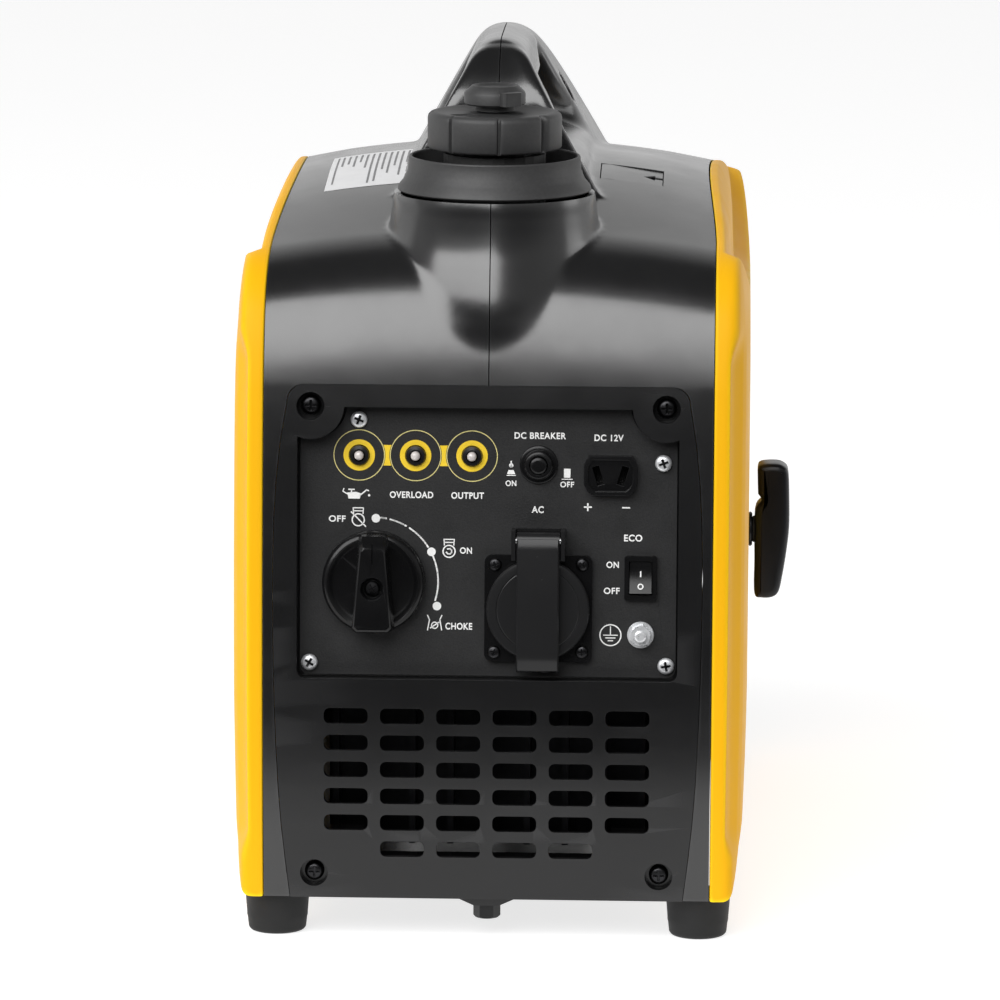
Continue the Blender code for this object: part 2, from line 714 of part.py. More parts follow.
def ac_socket():
    """Recessed two-pole outlet with hinge lugs, its sprung lid and the hinge pin."""
    u, v = AC_AT
    socket = prism(rounded(u, v, AC_HALF, AC_HALF, 3.5, 1), "Z", GAP, 3)
    join(socket, rod(u, v, 22.6, 2, 6, count=28), rod(u, v, 20.6, -18, 1, count=28))
    for side in (-1, 1):
        inner, outer = sorted((u + side * 10.5, u + side * 12.4))
        join(socket, box(inner, outer, -2, HINGE_UP + 5, GAP, HINGE_OUT + 3.5))
    join(socket, box(u - 12.4, u + 12.4, -3, HINGE_UP + 5, GAP, 3))
    cut(socket, rod(u, v, 19.8, -15, 8, count=28))
    for side in (-1, 1):
        cut(socket, rod(u + side * 9.5, v, 2.5, -17.5, -14, count=10))
    cut(socket, rod(HINGE_UP, HINGE_OUT, 1.8, u - 15, u + 15, "X", 12))
    finish(on_plate(socket), "ac_socket", "black")

    lid = rod(u, v, LID_R, 6.4, 9.5, count=28)
    join(lid, turned(((16.6, 2.5), (18.6, 2.5), (18.6, 7), (16.6, 7)), u, v, "Z", 24, True))
    strap = [(HINGE_UP - 1, 8.5), (HINGE_UP - 1, 13.4), (v - 20, 13.8), (v - 27, 12.5), (v - 29, 9.5), (v - 29, 7)]
    join(lid, prism(strap + [(HINGE_UP - 9, 7)], "X", u - 9.9, u + 9.9))
    join(lid, rod(HINGE_UP, HINGE_OUT, 3.9, u - 9.9, u + 9.9, "X", 20))
    cut(lid, rod(HINGE_UP, HINGE_OUT, 1.8, u - 15, u + 15, "X", 12))
    hinge = (u, HINGE_UP, HINGE_OUT)
    finish(on_plate(lid), "ac_lid", "black", plate_point(*hinge))
    finish(on_plate(rod(HINGE_UP, HINGE_OUT, 1.5, u - 12.4, u + 12.4, "X", 12)), "lid_pin", "steel")


def rocker_switch():
    u, v = ROCKER_AT
    bezel = prism(rounded(u, v, 7.5, 10.5, 1.2, 1), "Z", GAP, 2.4)
    join(bezel, box(u - 6, u + 6, v - 8.5, v + 8.5, -14, 1))
    cut(bezel, box(u - 5.4, u + 5.4, v - 8.0, v + 8.0, -8, 5))
    finish(on_plate(bezel), "rocker_bezel", "black")
    outline = ((-7.2, -1.5), (-7.5, 2.6), (0, 1.6), (7.5, 2.6), (7.2, -1.5), (0, -4.5))
    tilt = Matrix.Rotation(ROCKER_TILT, 2)
    turned_points = [tilt @ Vector(point) for point in outline]
    rocker = prism([(v + p.x, p.y) for p in turned_points], "X", u - 5.1, u + 5.1)
    finish(on_plate(rocker), "rocker", "black", plate_point(u, v, 0))


def ground_terminal():
    u, v = GROUND_AT
    stud = turned(((0, -9), (2.8, -9), (2.8, GAP), (6.2, GAP), (6.2, 1.6), (0, 1.6)), u, v, "Z", 20)
    join(stud, prism(circle(u, v, 5.0, 6, 0.3), "Z", 1.2, 5.2), rod(u, v, 2.7, 4, 8.2, count=14))
    finish(on_plate(stud), "ground_terminal", "zinc")


# ---------------------------------------------------------------- fuel system

def fuel_tank():
    """Hollow tank under the front of the top, and the filler tube in its mouth."""
    x, y = FILLER
    tank = casing_solid(7, 90)
    keep(tank, box(-90, 90, -196, -74, 252, 345))
    room = casing_solid(10, 87)
    keep(room, box(-87, 87, -193, -77, 255, 345))
    cut(tank, room, rod(x, y, 24 + GAP, 300, 345, count=28))
    finish(tank, "fuel_tank", "tank_plastic")
    tube = turned(((21, 306), (24, 306), (24, 363), (21, 363)), x, y, "Z", 28, True)
    finish(tube, "filler_tube", "tank_plastic")


def filler():
    x, y = FILLER
    z = COLLAR_Z
    profile = ((28, z), (45.5, z), (40.8, z + 9), (40, z + 16.7), (38.4, z + 16.7), (38.4, z + 4), (28, z + 3))
    finish(turned(profile, x, y, "Z", 28, True), "spill_collar", "rubber")
    insert = rod(x, y, 20.5, 347, CAP_BOTTOM_Z - GAP, count=24)
    finish(insert, "cap_insert", "black", (x, y, CAP_BOTTOM_Z))
    rings = []
    for z, radius in ((CAP_BOTTOM_Z, 30.5), (CAP_BOTTOM_Z + 1.5, CAP_R), (CAP_TOP_Z - 3, CAP_R), (CAP_TOP_Z, 28)):
        ring = []
        for i in range(32):
            groove = 1.8 if i % 4 == 0 else 0
            angle = 2 * math.pi * (i + 0.5) / 32
            ring.append((x + (radius - groove) * math.cos(angle), y + (radius - groove) * math.sin(angle), z))
        rings.append(ring)
    finish(loft(rings), "fuel_cap", "cap_grey", (x, y, CAP_TOP_Z))
    base = CAP_TOP_Z + GAP
    profile = ((0, base), (9, base), (9, base + 2.6), (14.4, base + 3.2), (14.4, base + 8.4), (10.5, base + 12),
               (0, base + 12))
    knob = turned(profile, x, y, "Z", 24)
    lug = box(9, 17.8, -5, 5, base + 3.2, base + 10.2)
    lug.data.transform(Matrix.Translation((x, y, 0)) @ Matrix.Rotation(VENT_ANGLE, 4, "Z"))
    finish(join(knob, lug), "vent_knob", "cap_grey", (x, y, base))


# ---------------------------------------------------------------- starter and engine

def recoil_starter():
    """Pull grip, rope, guide, reel and housing."""
    grip = [(124, 140), (124, 192), (128, 199), (134, 199.5), (139, 194), (141, 182), (141, 150), (139, 138),
            (134, 132.5), (128, 133)]
    handle = prism(grip, "Y", ROPE_Y - 9.5, ROPE_Y + 9.5)
    cut(handle, rod(ROPE_Y, ROPE_Z, ROPE_R + 0.4, 120, 134, "X", 12))
    finish(handle, "recoil_grip", "rubber", (124, ROPE_Y, ROPE_Z))
    finish(rod(ROPE_Y, ROPE_Z, ROPE_R, 3, 132, "X", 8), "starter_rope", "rope")
    guide = turned(((3.4, 114), (6.0, 114), (6.0, 121.3), (8.5, 121.3), (8.0, 123), (3.4, 123)),
                   ROPE_Y, ROPE_Z, "X", 16, True)
    finish(guide, "rope_guide", "black")
    groove = ROPE_WIND_R - ROPE_R - 0.5
    profile = ((8.2, -50), (60, -50), (60, -48), (groove, -47.2), (groove, -40.8), (60, -40), (60, -38), (8.2, -38))
    reel = turned(profile, 0, CRANK_Z, "Y", 24, True)
    for i in range(4):
        angle = math.pi / 2 * i
        cut(reel, rod(30 * math.cos(angle), CRANK_Z + 30 * math.sin(angle), 8, -60, -30, "Y", 8))
    finish(reel, "recoil_reel", "black", (0, ROPE_Y, CRANK_Z))
    profile = ((0, -58), (67, -58), (67, -31), (64, -31), (64, -54), (7.8, -54), (7.8, -36.5), (0, -36.5))
    housing = turned(profile, 0, CRANK_Z, "Y", 28)
    cut(housing, box(20, 80, ROPE_Y - 5, ROPE_Y + 5, ROPE_Z - 5, ROPE_Z + 5))
    finish(housing, "recoil_housing", "black_steel")


def flywheel():
    """Fan and magnet rotor on the crankshaft nose."""
    wheel = turned(((10.1, -26), (60, -26), (60, -20.5), (56, -20.5), (56, 6), (50, 6), (50, -20), (18, -20),
                    (18, -12), (10.1, -12)), 0, CRANK_Z, "Y", 24, True)
    for i in range(8):
        blade = box(26, 57, -33, -25, -1.2, 1.2)
        blade.data.transform(Matrix.Translation((0, 0, CRANK_Z)) @ Matrix.Rotation(math.pi / 4 * i, 4, "Y"))
        join(wheel, blade)
    finish(wheel, "flywheel_fan", "aluminium", (0, -26, CRANK_Z))


def stator():
    points = []
    for i in range(36):
        radius = 46 if i % 4 < 2 else 34
        angle = 2 * math.pi * i / 36
        points.append((radius * math.cos(angle), CRANK_Z + radius * math.sin(angle)))
    ring = prism(points, "Y", -14, 11.5)
    cut(ring, rod(0, CRANK_Z, 20, -20, 20, "Y", 24))
    finish(ring, "stator", "copper")


def crankshaft():
    shaft = rod(0, CRANK_Z, 9.7, -34, 31, "Y", 20)
    join(shaft, rod(0, CRANK_Z, 28, 30, 41, "Y", 24), rod(0, CRANK_Z - CRANK_THROW, 7, 40, 57, "Y", 16))
    join(shaft, rod(0, CRANK_Z, 28, 56, 66, "Y", 24), rod(0, CRANK_Z, 9.7, 65, 89, "Y", 20))
    finish(shaft, "crankshaft", "steel", (0, 0, CRANK_Z))


def engine():
    case = box(-42, 42, 12, 92, 62, 158)
    cut(case, box(-34, 34, 18, 86, 70, 152), rod(0, CRANK_Z, 10.3, 8, 90, "Y", 24))
    cut(case, rod(0, 52, 20, 150, 160, count=24))
    finish(case, "crankcase", "aluminium")
    rings = []
    for i in range(6):
        z = 158.3 + 9.4 * i
        for height, half in ((0, 36), (3.0, 36), (3.1, 30), (9.3, 30)):
            if z + height < 213:
                rings.append([(a, b, z + height) for a, b in rounded(0, 52, half, half, 6, 1)])
    cylinder = loft(rings)
    cut(cylinder, rod(0, 52, 19, 150, 206, count=24))
    finish(cylinder, "cylinder", "aluminium")
    head = prism(rounded(0, 52, 33, 33, 5, 1), "Z", 214.3, 232)
    join(head, prism(rounded(0, 56, 24, 26, 5, 1), "Z", 231, 250))
    finish(head, "cylinder_head", "aluminium")
    profile = ((0, 33.4), (6.5, 33.4), (6.5, 37), (9.5, 37), (9.5, 42), (5, 43), (5, 56), (3, 57), (3, 62), (0, 62))
    finish(turned(profile, 40, 223, "X", 12), "spark_plug", "white_ceramic")
    cap = turned(((0, -57), (9, -57), (9, -52), (6, -51), (6, -42.4), (0, -42.4)), 74, 92, "X", 12)
    finish(cap, "oil_filler", "black")


def breathing():
    """Air filter, carburettor and muffler."""
    body = prism(rounded(54, 223, 12, 9, 3, 1), "X", -61.7, -33.4)
    join(body, box(-56, -40, 44, 64, 200, 222))
    cut(body, rod(54, 223, 6, -70, -20, "X", 12))
    finish(body, "carburettor", "aluminium")
    filter_box = prism(rounded(-80, 60, 18, 36, 5, 2), "Z", 200, 246)
    cut(filter_box, rod(54, 223, 6.5, -75, -50, "X", 12))
    finish(filter_box, "air_filter_box", "black")
    muffler = prism(rounded(0, 165, 52, 46, 12, 2), "Y", 118, 190)
    x, z = TAIL_AT
    join(muffler, rod(x, z, 11.5, 185, 220.5, "Y", 20))
    join(muffler, rod(14, 223, 9, 85.5, 108, "Y", 12), box(5, 23, 106, 119, 180, 232))
    cut(muffler, prism(rounded(0, 165, 49.5, 43.5, 10, 2), "Y", 120.5, 187.5), rod(x, z, 9, 180, 230, "Y", 20))
    finish(muffler, "muffler", "exhaust")


def inverter():
    """Finned inverter module behind the front vents."""
    module = box(-76, 76, -170, -150, 36, 116)
    for i in range(9):
        x = -72 + 18 * i
        join(module, box(x - 1.5, x + 1.5, -190, -169, 40, 112))
    finish(module, "inverter_module", "aluminium")


def drain_plug():
    plug = prism(circle(0, -206, 6.4, 6), "Z", 9, 15.7)
    finish(plug, "drain_plug", "black")


# ---------------------------------------------------------------- assembly

def clear_scene():
    for obj in list(bpy.data.objects):
        bpy.data.objects.remove(obj, do_unlink=True)


def build():
    clear_scene()
    frame = bpy.data.objects.new("generator", None)
    bpy.context.scene.collection.objects.link(frame)
    frame.location = (FRAME_SHIFT[0] * MM, FRAME_SHIFT[1] * MM, 0)
    shell_halves()
    handle_halves()
    service_lid()
    side_cover(1)
    side_cover(-1)
    front_cover()
    rear_cover()
    base_tray()
    feet()
    control_plate()
    plate_screws()
    cover_screws()
    indicator_lamps()
    engine_knob()
    breaker()
    dc_socket()
    ac_socket()
    rocker_switch()
    ground_terminal()
    fuel_tank()
    filler()
    recoil_starter()
    flywheel()
    stator()
    crankshaft()
    engine()
    breathing()
    inverter()
    drain_plug()


build()
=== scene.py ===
"""Looks of the portable suitcase generator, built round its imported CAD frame.

Shapes are made in millimetres in the casing's own frame (x across, y along, z up) and placed
in the row frame, in metres, by piece().
"""
import json
import math

import bmesh
import bpy
import numpy as np
import openvdb
from mathutils import Matrix, Vector


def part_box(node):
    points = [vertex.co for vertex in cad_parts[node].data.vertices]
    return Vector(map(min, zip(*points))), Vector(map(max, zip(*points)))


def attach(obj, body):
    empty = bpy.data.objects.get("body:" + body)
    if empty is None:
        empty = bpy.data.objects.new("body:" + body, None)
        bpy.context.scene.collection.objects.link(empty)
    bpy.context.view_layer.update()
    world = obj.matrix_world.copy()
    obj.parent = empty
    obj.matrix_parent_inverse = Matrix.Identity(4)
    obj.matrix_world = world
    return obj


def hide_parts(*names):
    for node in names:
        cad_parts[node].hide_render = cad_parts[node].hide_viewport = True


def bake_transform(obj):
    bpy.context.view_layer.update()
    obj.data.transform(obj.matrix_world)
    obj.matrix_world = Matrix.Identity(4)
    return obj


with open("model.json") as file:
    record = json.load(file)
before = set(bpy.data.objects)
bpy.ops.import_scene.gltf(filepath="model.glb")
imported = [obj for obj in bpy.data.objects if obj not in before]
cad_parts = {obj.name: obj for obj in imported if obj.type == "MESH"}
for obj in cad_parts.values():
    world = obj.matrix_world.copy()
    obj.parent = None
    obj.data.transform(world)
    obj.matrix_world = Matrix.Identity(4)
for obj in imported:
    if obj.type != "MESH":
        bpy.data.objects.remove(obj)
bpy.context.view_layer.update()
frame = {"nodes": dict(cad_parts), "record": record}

MM = 0.001
GAP = 0.3
# Faces broader than this, in square metres, are shaded flat
BROAD_FACE = 0.002


def body_origin():
    """The casing's centre on the floor, in row metres, from two CAD nodes that straddle it."""
    low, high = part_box("foot_front_left"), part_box("foot_rear_right")
    return (low[0] + high[1]) / 2


ORIGIN = body_origin()
ORIGIN.z = 0.0
TO_ROW = Matrix.Translation(ORIGIN) @ Matrix.Scale(MM, 4)

# Casing, in millimetres
CASE_BOTTOM = 20.3
CASING_FOOT_Z = 20.0
SHOULDER_Z = 262.0
CREST_Z = 348.0
SHELL_HALF = 104.0
CROWN_DROP = 0.125
PROFILE_CURVES = (
    ((-218, 20), (-222, 60), (-223, 110), (-222, 150)),
    ((-222, 150), (-221, 190), (-218, 230), (-213, 262)),
    ((-213, 262), (-206, 303), (-196, 321), (-158, 328)),
    ((-158, 328), (-105, 338), (-60, 348), (0, 348)),
)
DRAW_LOW_Z, DRAW_HIGH_Z, DRAW_INNER_X, DRAW_DEPTH = 320.5, 337.3, 80.0, 4.2
END_OUTLINE = ((20, 91), (60, 96), (110, 98.5), (165, 99.5), (210, 98.5), (240, 95.5), (254, 93.2))
END_CORNER = 8.0
COVER_SCREWS = ((-82.4, 252.0), (82.4, 252.0), (-80.5, 32.0), (80.5, 32.0))
SLOT_LENGTH, SLOT_HEIGHT, SLOT_PITCH_X, SLOT_PITCH_Z, SLOT_TOP_Z = 20.5, 7.5, 26.2, 12.74, 107.6
PLATE_CENTRE = Vector((0.0, -209.5, 183.0))
PLATE_LEAN = math.radians(3.5)
PLATE_HALF, PLATE_TOP, PLATE_BOTTOM, NOTCH_R, PLATE_T = 87.5, 67.5, -57.5, 16.5, 2.0
FILLER = (0.0, -150.0)
FRONT_CUT = (-240, -190)
REAR_CUT = (190, 240)
FOOT_X, FOOT_Y = 99, 198
ROPE_AT = (-44, 166)
EXHAUST_AT, EXHAUST_RADIUS = (-36, 170), 14


# ---------------------------------------------------------------- mesh helpers

def new_object(mesh):
    obj = bpy.data.objects.new("piece", mesh)
    bpy.context.scene.collection.objects.link(obj)
    return obj


def solid(bm):
    bmesh.ops.recalc_face_normals(bm, faces=bm.faces)
    mesh = bpy.data.meshes.new("piece")
    bm.to_mesh(mesh)
    bm.free()
    return new_object(mesh)


def surface(points, faces):
    """Object from arrays of points and faces."""
    mesh = bpy.data.meshes.new("piece")
    mesh.from_pydata([tuple(p) for p in points], [], [tuple(int(i) for i in f) for f in faces])
    mesh.update()
    return new_object(mesh)


def loft(rings, closed=True):
    bm = bmesh.new()
    rows = [[bm.verts.new(point) for point in ring] for ring in rings]
    for row, following in zip(rows, rows[1:]):
        for i in range(len(row)):
            j = (i + 1) % len(row)
            bm.faces.new((row[i], row[j], following[j], following[i]))
    if closed:
        caps = [bm.faces.new(rows[0]), bm.faces.new(rows[-1])]
        bmesh.ops.triangulate(bm, faces=caps)
    return solid(bm)


def along(axis, a, b, h):
    if axis == "X":
        return (h, a, b)
    if axis == "Y":
        return (a, h, b)
    return (a, b, h)


def prism(outline, axis, low, high):
    return loft([[along(axis, a, b, h) for a, b in outline] for h in (low, high)])


def box(x0, x1, y0, y1, z0, z1):
    return prism(((x0, y0), (x1, y0), (x1, y1), (x0, y1)), "Z", z0, z1)


def circle(a, b, radius, count=48, turn=0.0):
    step = 2 * math.pi / count
    return [(a + radius * math.cos(turn + step * i), b + radius * math.sin(turn + step * i))
            for i in range(count)]


def turned(profile, a, b, axis="Z", count=64, ring=False):
    """Solid turned from (radius, height) points round the axis through (a, b)."""
    bm = bmesh.new()
    rows = []
    for radius, h in profile:
        if radius == 0:
            rows.append([bm.verts.new(along(axis, a, b, h))] * count)
        else:
            rows.append([bm.verts.new(along(axis, p, q, h)) for p, q in circle(a, b, radius, count)])
    pairs = list(zip(rows, rows[1:]))
    if ring:
        pairs.append((rows[-1], rows[0]))
    for row, following in pairs:
        for i in range(count):
            j = (i + 1) % count
            corners = []
            for vert in (row[i], row[j], following[j], following[i]):
                if vert not in corners:
                    corners.append(vert)
            if len(corners) > 2:
                bm.faces.new(corners)
    return solid(bm)


def rod(a, b, radius, low, high, axis="Z", count=40):
    return turned(((0, low), (radius, low), (radius, high), (0, high)), a, b, axis, count)


def rounded(a, b, half_a, half_b, radius, steps=6):
    points = []
    for quadrant, (sa, sb) in enumerate(((1, 1), (-1, 1), (-1, -1), (1, -1))):
        for i in range(steps + 1):
            angle = math.pi / 2 * (quadrant + i / steps)
            points.append((a + sa * (half_a - radius) + radius * math.cos(angle),
                           b + sb * (half_b - radius) + radius * math.sin(angle)))
    return points


def combine(target, other, operation):
    modifier = target.modifiers.new("combine", "BOOLEAN")
    modifier.operation = operation
    modifier.solver = "EXACT"
    modifier.object = other
    depsgraph = bpy.context.evaluated_depsgraph_get()
    mesh = bpy.data.meshes.new_from_object(target.evaluated_get(depsgraph))
    target.modifiers.clear()
    target.data = mesh
    bpy.data.objects.remove(other, do_unlink=True)
    return target


def cut(target, *cutters):
    for cutter in cutters:
        combine(target, cutter, "DIFFERENCE")
    return target


def join(target, *others):
    for other in others:
        combine(target, other, "UNION")
    return target


def keep(target, region):
    return combine(target, region, "INTERSECT")


def merged(objects):
    """Several meshes as one piece, without a Boolean."""
    bm = bmesh.new()
    for obj in objects:
        bm.from_mesh(obj.data)
        bpy.data.objects.remove(obj, do_unlink=True)
    mesh = bpy.data.meshes.new("piece")
    bm.to_mesh(mesh)
    bm.free()
    return new_object(mesh)


def mirror_across(obj):
    obj.data.transform(Matrix.Scale(-1, 4, (1, 0, 0)))
    obj.data.flip_normals()
    return obj


def piece(obj, name, body, look, replaces=(), bevel=0.0, sharp=32.0, segments=2):
    """Place a finished shape in the row frame, with its edges rounded, its material and its body.
    """
    bm = bmesh.new()
    bm.from_mesh(obj.data)
    bmesh.ops.remove_doubles(bm, verts=bm.verts, dist=0.01)
    bmesh.ops.dissolve_degenerate(bm, edges=bm.edges, dist=0.003)
    bm.to_mesh(obj.data)
    bm.free()
    obj.data.transform(TO_ROW)
    obj.data.shade_smooth()
    obj.data.set_sharp_from_angle(angle=math.radians(sharp))
    for face in obj.data.polygons:
        if face.area > BROAD_FACE:
            face.use_smooth = False
    obj.name = name
    obj.data.materials.clear()
    obj.data.materials.append(MAT[look])
    if bevel > 0:
        modifier = obj.modifiers.new("edges", "BEVEL")
        modifier.width = bevel * MM
        modifier.segments = segments
        modifier.limit_method = "ANGLE"
        modifier.angle_limit = math.radians(sharp)
        modifier.harden_normals = True
    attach(obj, body)
    if replaces:
        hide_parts(*replaces)
    return obj


# ---------------------------------------------------------------- materials

class Tree:
    """A Principled material with a few short calls for its procedural detail."""

    def __init__(self, name, colour, roughness, metallic=0.0, specular=0.5, coat=0.0):
        self.material = bpy.data.materials.new(name)
        self.material.use_nodes = True
        self.nodes = self.material.node_tree.nodes
        self.links = self.material.node_tree.links
        self.shader = self.nodes["Principled BSDF"]
        self.shader.inputs["Metallic"].default_value = metallic
        self.shader.inputs["Specular IOR Level"].default_value = specular
        self.shader.inputs["Coat Weight"].default_value = coat
        self.shader.inputs["Coat Roughness"].default_value = 0.25
        self.shader.inputs["Roughness"].default_value = roughness
        self.shader.inputs["Base Color"].default_value = (*colour, 1.0)
        self.colour = colour
        self.height = None
        self.coords = self.nodes.new("ShaderNodeTexCoord").outputs["Object"]

    def noise(self, size_mm, detail=3.0, roughness=0.55, stretch=None):
        coords = self.coords
        if stretch:
            mapping = self.nodes.new("ShaderNodeMapping")
            mapping.inputs["Scale"].default_value = stretch
            self.links.new(coords, mapping.inputs["Vector"])
            coords = mapping.outputs["Vector"]
        node = self.nodes.new("ShaderNodeTexNoise")
        node.inputs["Scale"].default_value = 1000.0 / size_mm
        node.inputs["Detail"].default_value = detail
        node.inputs["Roughness"].default_value = roughness
        self.links.new(coords, node.inputs["Vector"])
        return node.outputs["Fac"]

    def cells(self, size_mm):
        node = self.nodes.new("ShaderNodeTexVoronoi")
        node.inputs["Scale"].default_value = 1000.0 / size_mm
        self.links.new(self.coords, node.inputs["Vector"])
        return node.outputs["Distance"]

    def ranged(self, value, low, high, from_low=0.3, from_high=0.7):
        node = self.nodes.new("ShaderNodeMapRange")
        node.inputs["From Min"].default_value = from_low
        node.inputs["From Max"].default_value = from_high
        node.inputs["To Min"].default_value = low
        node.inputs["To Max"].default_value = high
        self.links.new(value, node.inputs["Value"])
        return node.outputs["Result"]

    def tint(self, factor, other):
        """Mix the present colour towards another by a factor socket."""
        node = self.nodes.new("ShaderNodeMix")
        node.data_type = "RGBA"
        base = self.shader.inputs["Base Color"]
        if base.is_linked:
            self.links.new(base.links[0].from_socket, node.inputs["A"])
        else:
            node.inputs["A"].default_value = base.default_value
        node.inputs["B"].default_value = (*other, 1.0)
        self.links.new(factor, node.inputs["Factor"])
        self.links.new(node.outputs["Result"], base)

    def gloss(self, value, low, high):
        self.links.new(self.ranged(value, low, high), self.shader.inputs["Roughness"])

    def bump(self, value, depth_mm):
        node = self.nodes.new("ShaderNodeBump")
        node.inputs["Distance"].default_value = depth_mm * MM
        self.links.new(value, node.inputs["Height"])
        normal = self.shader.inputs["Normal"]
        if normal.is_linked:
            self.links.new(normal.links[0].from_socket, node.inputs["Normal"])
        self.links.new(node.outputs["Normal"], normal)

    def edges(self, colour):
        """Rubbed edges and painted edge highlight: convex corners lean towards another colour, for wear and
        for the bright line that light draws along an edge.
        """
        point = self.nodes.new("ShaderNodeNewGeometry").outputs["Pointiness"]
        # Lightening of convex corners: partly wear, partly painted highlight along the edges.
        self.tint(self.ranged(point, 0.0, 0.6, 0.52, 0.60), colour)

    def dust(self, colour, amount):
        """A faint uneven film on surfaces that face up."""
        normal = self.nodes.new("ShaderNodeSeparateXYZ")
        self.links.new(self.nodes.new("ShaderNodeNewGeometry").outputs["Normal"], normal.inputs[0])
        up = self.ranged(normal.outputs["Z"], 0.0, amount, 0.3, 1.0)
        patch = self.ranged(self.noise(35.0, 5.0, 0.6), 0.2, 1.0)
        product = self.nodes.new("ShaderNodeMath")
        product.operation = "MULTIPLY"
        self.links.new(up, product.inputs[0])
        self.links.new(patch, product.inputs[1])
        self.tint(product.outputs[0], colour)


def moulded(name, colour, roughness, grain_mm, grain_depth, spread=0.06, specular=0.5, lift=1.35):
    """Injection moulded plastic: fine grain, slow colour drift, uneven gloss, lighter edges for wear and as
    painted highlight.
    """
    tree = Tree(name, colour, roughness, specular=specular)
    tree.tint(tree.ranged(tree.noise(60, 4), 0.0, 0.35), tuple(c * lift for c in colour))
    tree.gloss(tree.noise(25, 5, 0.6), roughness - spread, roughness + spread)
    tree.bump(tree.noise(grain_mm, 2), grain_depth)
    tree.bump(tree.noise(14, 1), 0.003)
    # Convex edges painted lighter: partly rubbed wear, partly painted highlight.
    tree.edges(tuple(min(c * 2.2 + 0.01, 1.0) for c in colour))
    return tree


def metal(name, colour, roughness, grain_mm=0.6, grain_depth=0.01, stain=None, stretch=None, metallic=1.0):
    tree = Tree(name, colour, roughness, metallic=metallic)
    tree.tint(tree.ranged(tree.noise(6, 4), 0.0, 0.4), tuple(c * 0.8 for c in colour))
    if stain:
        tree.tint(tree.ranged(tree.noise(28, 5), 0.0, 0.6), stain)
    tree.gloss(tree.noise(3, 4), roughness - 0.08, roughness + 0.12)
    tree.bump(tree.noise(grain_mm, 3, stretch=stretch), grain_depth)
    return tree


# Name, colour, roughness, grain size and depth in mm, then spread, specular and lift where they differ
PLASTICS = (
    ("casing_black", (0.0065, 0.0065, 0.0068), 0.225, 0.55, 0.0008, 0.03, 0.85),
    ("cover_black", (0.0065, 0.0065, 0.0068), 0.24, 0.55, 0.0008, 0.03, 0.42),
    ("cover_yellow", (0.78, 0.40, 0.007), 0.42, 0.6, 0.002, 0.05, 0.06, 1.06),
    ("control_black", (0.0035, 0.0035, 0.0038), 0.24, 0.5, 0.001, 0.04, 0.28),
    ("rubber_black", (0.008, 0.008, 0.008), 0.62, 0.8, 0.012, 0.08, 0.35),
    ("grip_black", (0.003, 0.0036, 0.0055), 0.34, 0.8, 0.003, 0.05, 0.3),
    ("cap_grey", (0.026, 0.026, 0.0265), 0.52, 0.5, 0.012, 0.06, 0.4),
    ("ceramic_white", (0.78, 0.76, 0.70), 0.16, 0.9, 0.002, 0.04, 0.6, 1.05),
    ("tank_black", (0.008, 0.008, 0.008), 0.45, 1.2, 0.02),
)
# Name, colour, roughness, grain size and depth in mm, then stain, stretch of the grain, metallic share
METALS = (
    ("zinc_steel", (0.80, 0.81, 0.83), 0.30, 0.8, 0.004, (0.66, 0.67, 0.68), None, 0.6),
    ("black_steel", (0.035, 0.035, 0.037), 0.30, 0.5, 0.008),
    ("anodised_black", (0.012, 0.012, 0.013), 0.5, 0.8, 0.02),
    ("cast_aluminium", (0.60, 0.61, 0.62), 0.42, 0.9, 0.06, (0.38, 0.37, 0.35)),
    ("machined_steel", (0.56, 0.56, 0.57), 0.28, 0.5, 0.006, None, (1, 12, 1)),
    ("exhaust_steel", (0.40, 0.37, 0.33), 0.46, 1.2, 0.04, (0.22, 0.12, 0.07)),
    ("copper_winding", (0.62, 0.25, 0.09), 0.30, 0.6, 0.02),
)
INKS = {"print_white": (0.80, 0.80, 0.79), "print_yellow": (0.80, 0.55, 0.02),
        "print_dark": (0.16, 0.16, 0.165),
        "print_ring": (0.62, 0.55, 0.22)}


